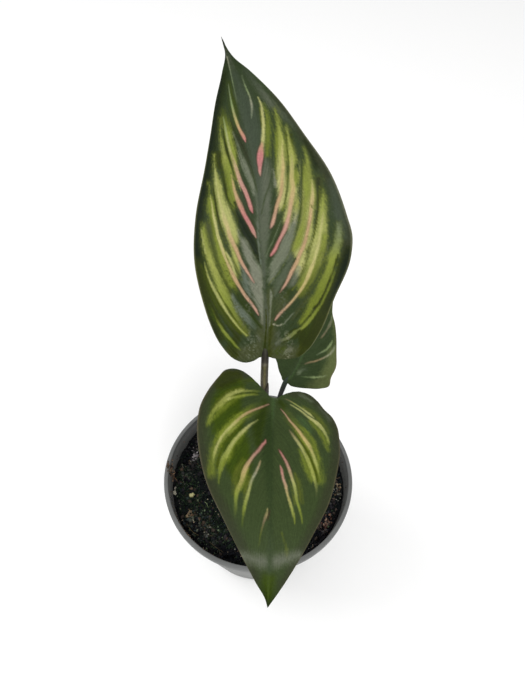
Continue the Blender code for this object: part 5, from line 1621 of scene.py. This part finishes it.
def build_fibres(material):
    rng = np.random.default_rng(14)
    heap = Heap()
    for places, radius, tint in THREADS:
        path = curve_through(places, THREAD_PARTS) * MM
        path[:, 2] += np.array([soil_height(x, y) for x, y in path[:, :2]])
        heap.put(*thread(path, radius * MM), tint)
    for _ in range(THREAD_COUNT):
        x, y = soil_spot(rng, THREAD_REACH)
        heading = rng.uniform(0, 2 * pi)
        path = []
        for k in range(THREAD_STEPS + 1):
            arch = THREAD_ARCH * sin(pi * k / THREAD_STEPS) * rng.uniform(0.4, 1.2)
            path.append((x, y, soil_height(x, y) + THREAD_LIFT + arch))
            heading += rng.normal() * THREAD_BEND
            x += THREAD_STEP * cos(heading)
            y += THREAD_STEP * sin(heading)
        if max(np.hypot(px, py) for px, py, _ in path) > SOIL_EDGE - THREAD_INSET:
            continue
        tint = np.array(THREAD_COLOUR) * rng.uniform(0.5, 1.1)
        heap.put(*thread(np.array(path), rng.uniform(*THREAD_RADII), LOOSE_SIDES), tint)
    heap.build("soil_fibres", material)


# Soil on the lip and the inner wall: its colours, and (angle in degrees from +X, spread, how many, radius,
# height, its reach down, smallest and largest radius in mm)
CLINGING = ((122, 98, 80), (100, 80, 64), (74, 60, 50), (142, 116, 92), (88, 84, 66), (50, 44, 38))
SPILLS = (
    (177.2, 1.4, 22, 0.0438, 0.0702, 0.0001, 0.18, 0.60),
    (177.6, 2.0, 60, 0.0427, 0.0692, 0.0050, 0.18, 0.60),
    (179.5, 2.4, 30, 0.0415, 0.0650, 0.0030, 0.15, 0.50),
    (205, 9, 44, 0.0427, 0.0690, 0.0060, 0.08, 0.35),
    (226, 7, 60, 0.0427, 0.0692, 0.0060, 0.08, 0.38), (243, 7, 44, 0.0427, 0.0690, 0.0055, 0.08, 0.35),
    (222, 5, 14, 0.0431, 0.0701, 0.0002, 0.08, 0.28), (238, 4, 8, 0.0431, 0.0701, 0.0002, 0.08, 0.25),
    (20, 40, 50, 0.0425, 0.0660, 0.0050, 0.08, 0.30), (100, 60, 60, 0.0425, 0.0660, 0.0050, 0.08, 0.32),
    (300, 40, 50, 0.0426, 0.0680, 0.0060, 0.08, 0.30))
SPILL_SHAPES = 5
SPILL_ROUGH = 0.9
SPILL_INSET = 0.4


def build_spills(material):
    """Soil that clings to the pot's inner wall and sits on its lip."""
    rng = np.random.default_rng(16)
    shapes = [lump(40 + seed, 1, SPILL_ROUGH) for seed in range(SPILL_SHAPES)]
    heap = Heap()
    for angle, spread, count, radius, height, depth, low, high in SPILLS:
        for _ in range(count):
            turn = radians(angle + rng.normal() * spread)
            size = rng.uniform(low, high) * MM
            level = height - depth * rng.random()
            below_lip = level < POT_HEIGHT - LIP_DEPTH
            wall = body_radius(level) - WALL - SPILL_INSET * size if below_lip else radius
            out = min(radius, wall) if level < POT_HEIGHT else radius + rng.uniform(-0.6, 0.6) * MM
            points, faces = shapes[rng.integers(len(shapes))]
            squash = np.array([1, rng.uniform(0.4, 1), rng.uniform(0.4, 1)])
            points = (points * size * squash) @ turned_any_way(rng).T
            tint = np.array(CLINGING[rng.integers(len(CLINGING))]) * rng.uniform(0.6, 1.1)
            heap.put(points + np.array([out * cos(turn), out * sin(turn), level]), faces, tint)
    heap.build("soil_spills", material)


def soil_material(name, rate, distance):
    shader = Shader(name)
    paint = shader.attribute("paint", "Color")
    place = shader.place()
    grains = shader.noise(place, rate, 5)
    damp = shader.noise(place, 300, 3)
    light = shader.product(shader.spread(grains, 0.55, 1.45), shader.spread(damp, 0.8, 1.2))
    shader.set(shader.surface, {
        "Base Color": shader.scaled(paint, light),
        "Roughness": shader.spread(damp, 0.7, 0.95),
        "Specular IOR Level": 0.12,
        "Normal": shader.bump(grains, distance, 0.8),
    })
    return shader.material


# Stage

def build_floor():
    shader = Shader("floor_pale")
    clouds = shader.noise(shader.place(), 3, 2)
    low, high = (tuple(c * share for c in FLOOR_COLOUR) + (1,) for share in (0.99, 1.0))
    shader.set(shader.surface, {"Base Color": shader.mixed(clouds, low, high), "Roughness": 0.9,
                                "Specular IOR Level": 0.1})
    corners = [(x * FLOOR_HALF, y * FLOOR_HALF, 0) for x, y in ((-1, -1), (1, -1), (1, 1), (-1, 1))]
    floor = new_object("floor", new_mesh("floor", corners, [(0, 1, 2, 3)]), [shader.material], None)


def build_lights():
    scene = bpy.context.scene
    world = bpy.data.worlds.new("studio")
    world.use_nodes = True
    background = world.node_tree.nodes["Background"]
    background.inputs["Color"].default_value = (*WORLD_COLOUR, 1)
    background.inputs["Strength"].default_value = WORLD_LIGHT
    scene.world = world
    for i, (place, target, width, height, watts) in enumerate(LAMPS):
        light = bpy.data.lights.new("softbox_%d" % i, "AREA")
        light.shape = "RECTANGLE"
        light.size = width
        light.size_y = height
        light.energy = watts
        lamp = bpy.data.objects.new("softbox_%d" % i, light)
        lamp.location = place
        lamp.rotation_euler = (Vector(target) - Vector(place)).to_track_quat("-Z", "Y").to_euler()
        scene.collection.objects.link(lamp)


def build_camera():
    scene = bpy.context.scene
    data = bpy.data.cameras.new("camera")
    data.sensor_width = SENSOR
    data.lens = SENSOR * FOCAL_SHARE
    data.clip_start = 0.01
    camera = bpy.data.objects.new("camera", data)
    pitch, roll = radians(CAMERA_PITCH), radians(CAMERA_ROLL)
    ahead = Vector((0, cos(pitch), -sin(pitch)))
    right = Vector((1, 0, 0))
    up = right.cross(ahead)
    turned_right = right * cos(roll) + up * sin(roll)
    turned_up = up * cos(roll) - right * sin(roll)
    rotation = Matrix((turned_right, turned_up, -ahead)).transposed().to_4x4()
    camera.matrix_world = Matrix.Translation(CAMERA_PLACE) @ rotation
    scene.collection.objects.link(camera)
    scene.camera = camera


def main():
    leaf = [leaf_top_material(), leaf_under_material()]
    build_blade("blade_top", TOP_BLADE, TOP_MARKS, "dark", leaf)
    build_blade("blade_front", FRONT_BLADE, FRONT_MARKS, "leaf", leaf)
    build_blade("blade_rear", REAR_BLADE, REAR_MARKS, "dark", leaf)
    skin = stalk_material()
    build_top_stalk(skin)
    build_sheathed_stalk("stalk_front", FRONT_STALK, FRONT_BLADE, SHEATH_BANDS, skin, sheath_tip())
    build_sheathed_stalk("stalk_rear", REAR_STALK, REAR_BLADE, REAR_STALK_BANDS, skin)
    build_pot(pot_material())
    earth = soil_material("soil_earth", 2200, 0.0003)
    grit = soil_material("soil_grit", 3200, 0.00015)
    build_soil(earth)
    build_crumbs(grit)
    build_stones(grit)
    build_moss(grit)
    build_fibres(grit)
    build_spills(grit)
    build_floor()
    build_lights()
    build_camera()
    bpy.context.scene.view_settings.view_transform = "Standard"


main()
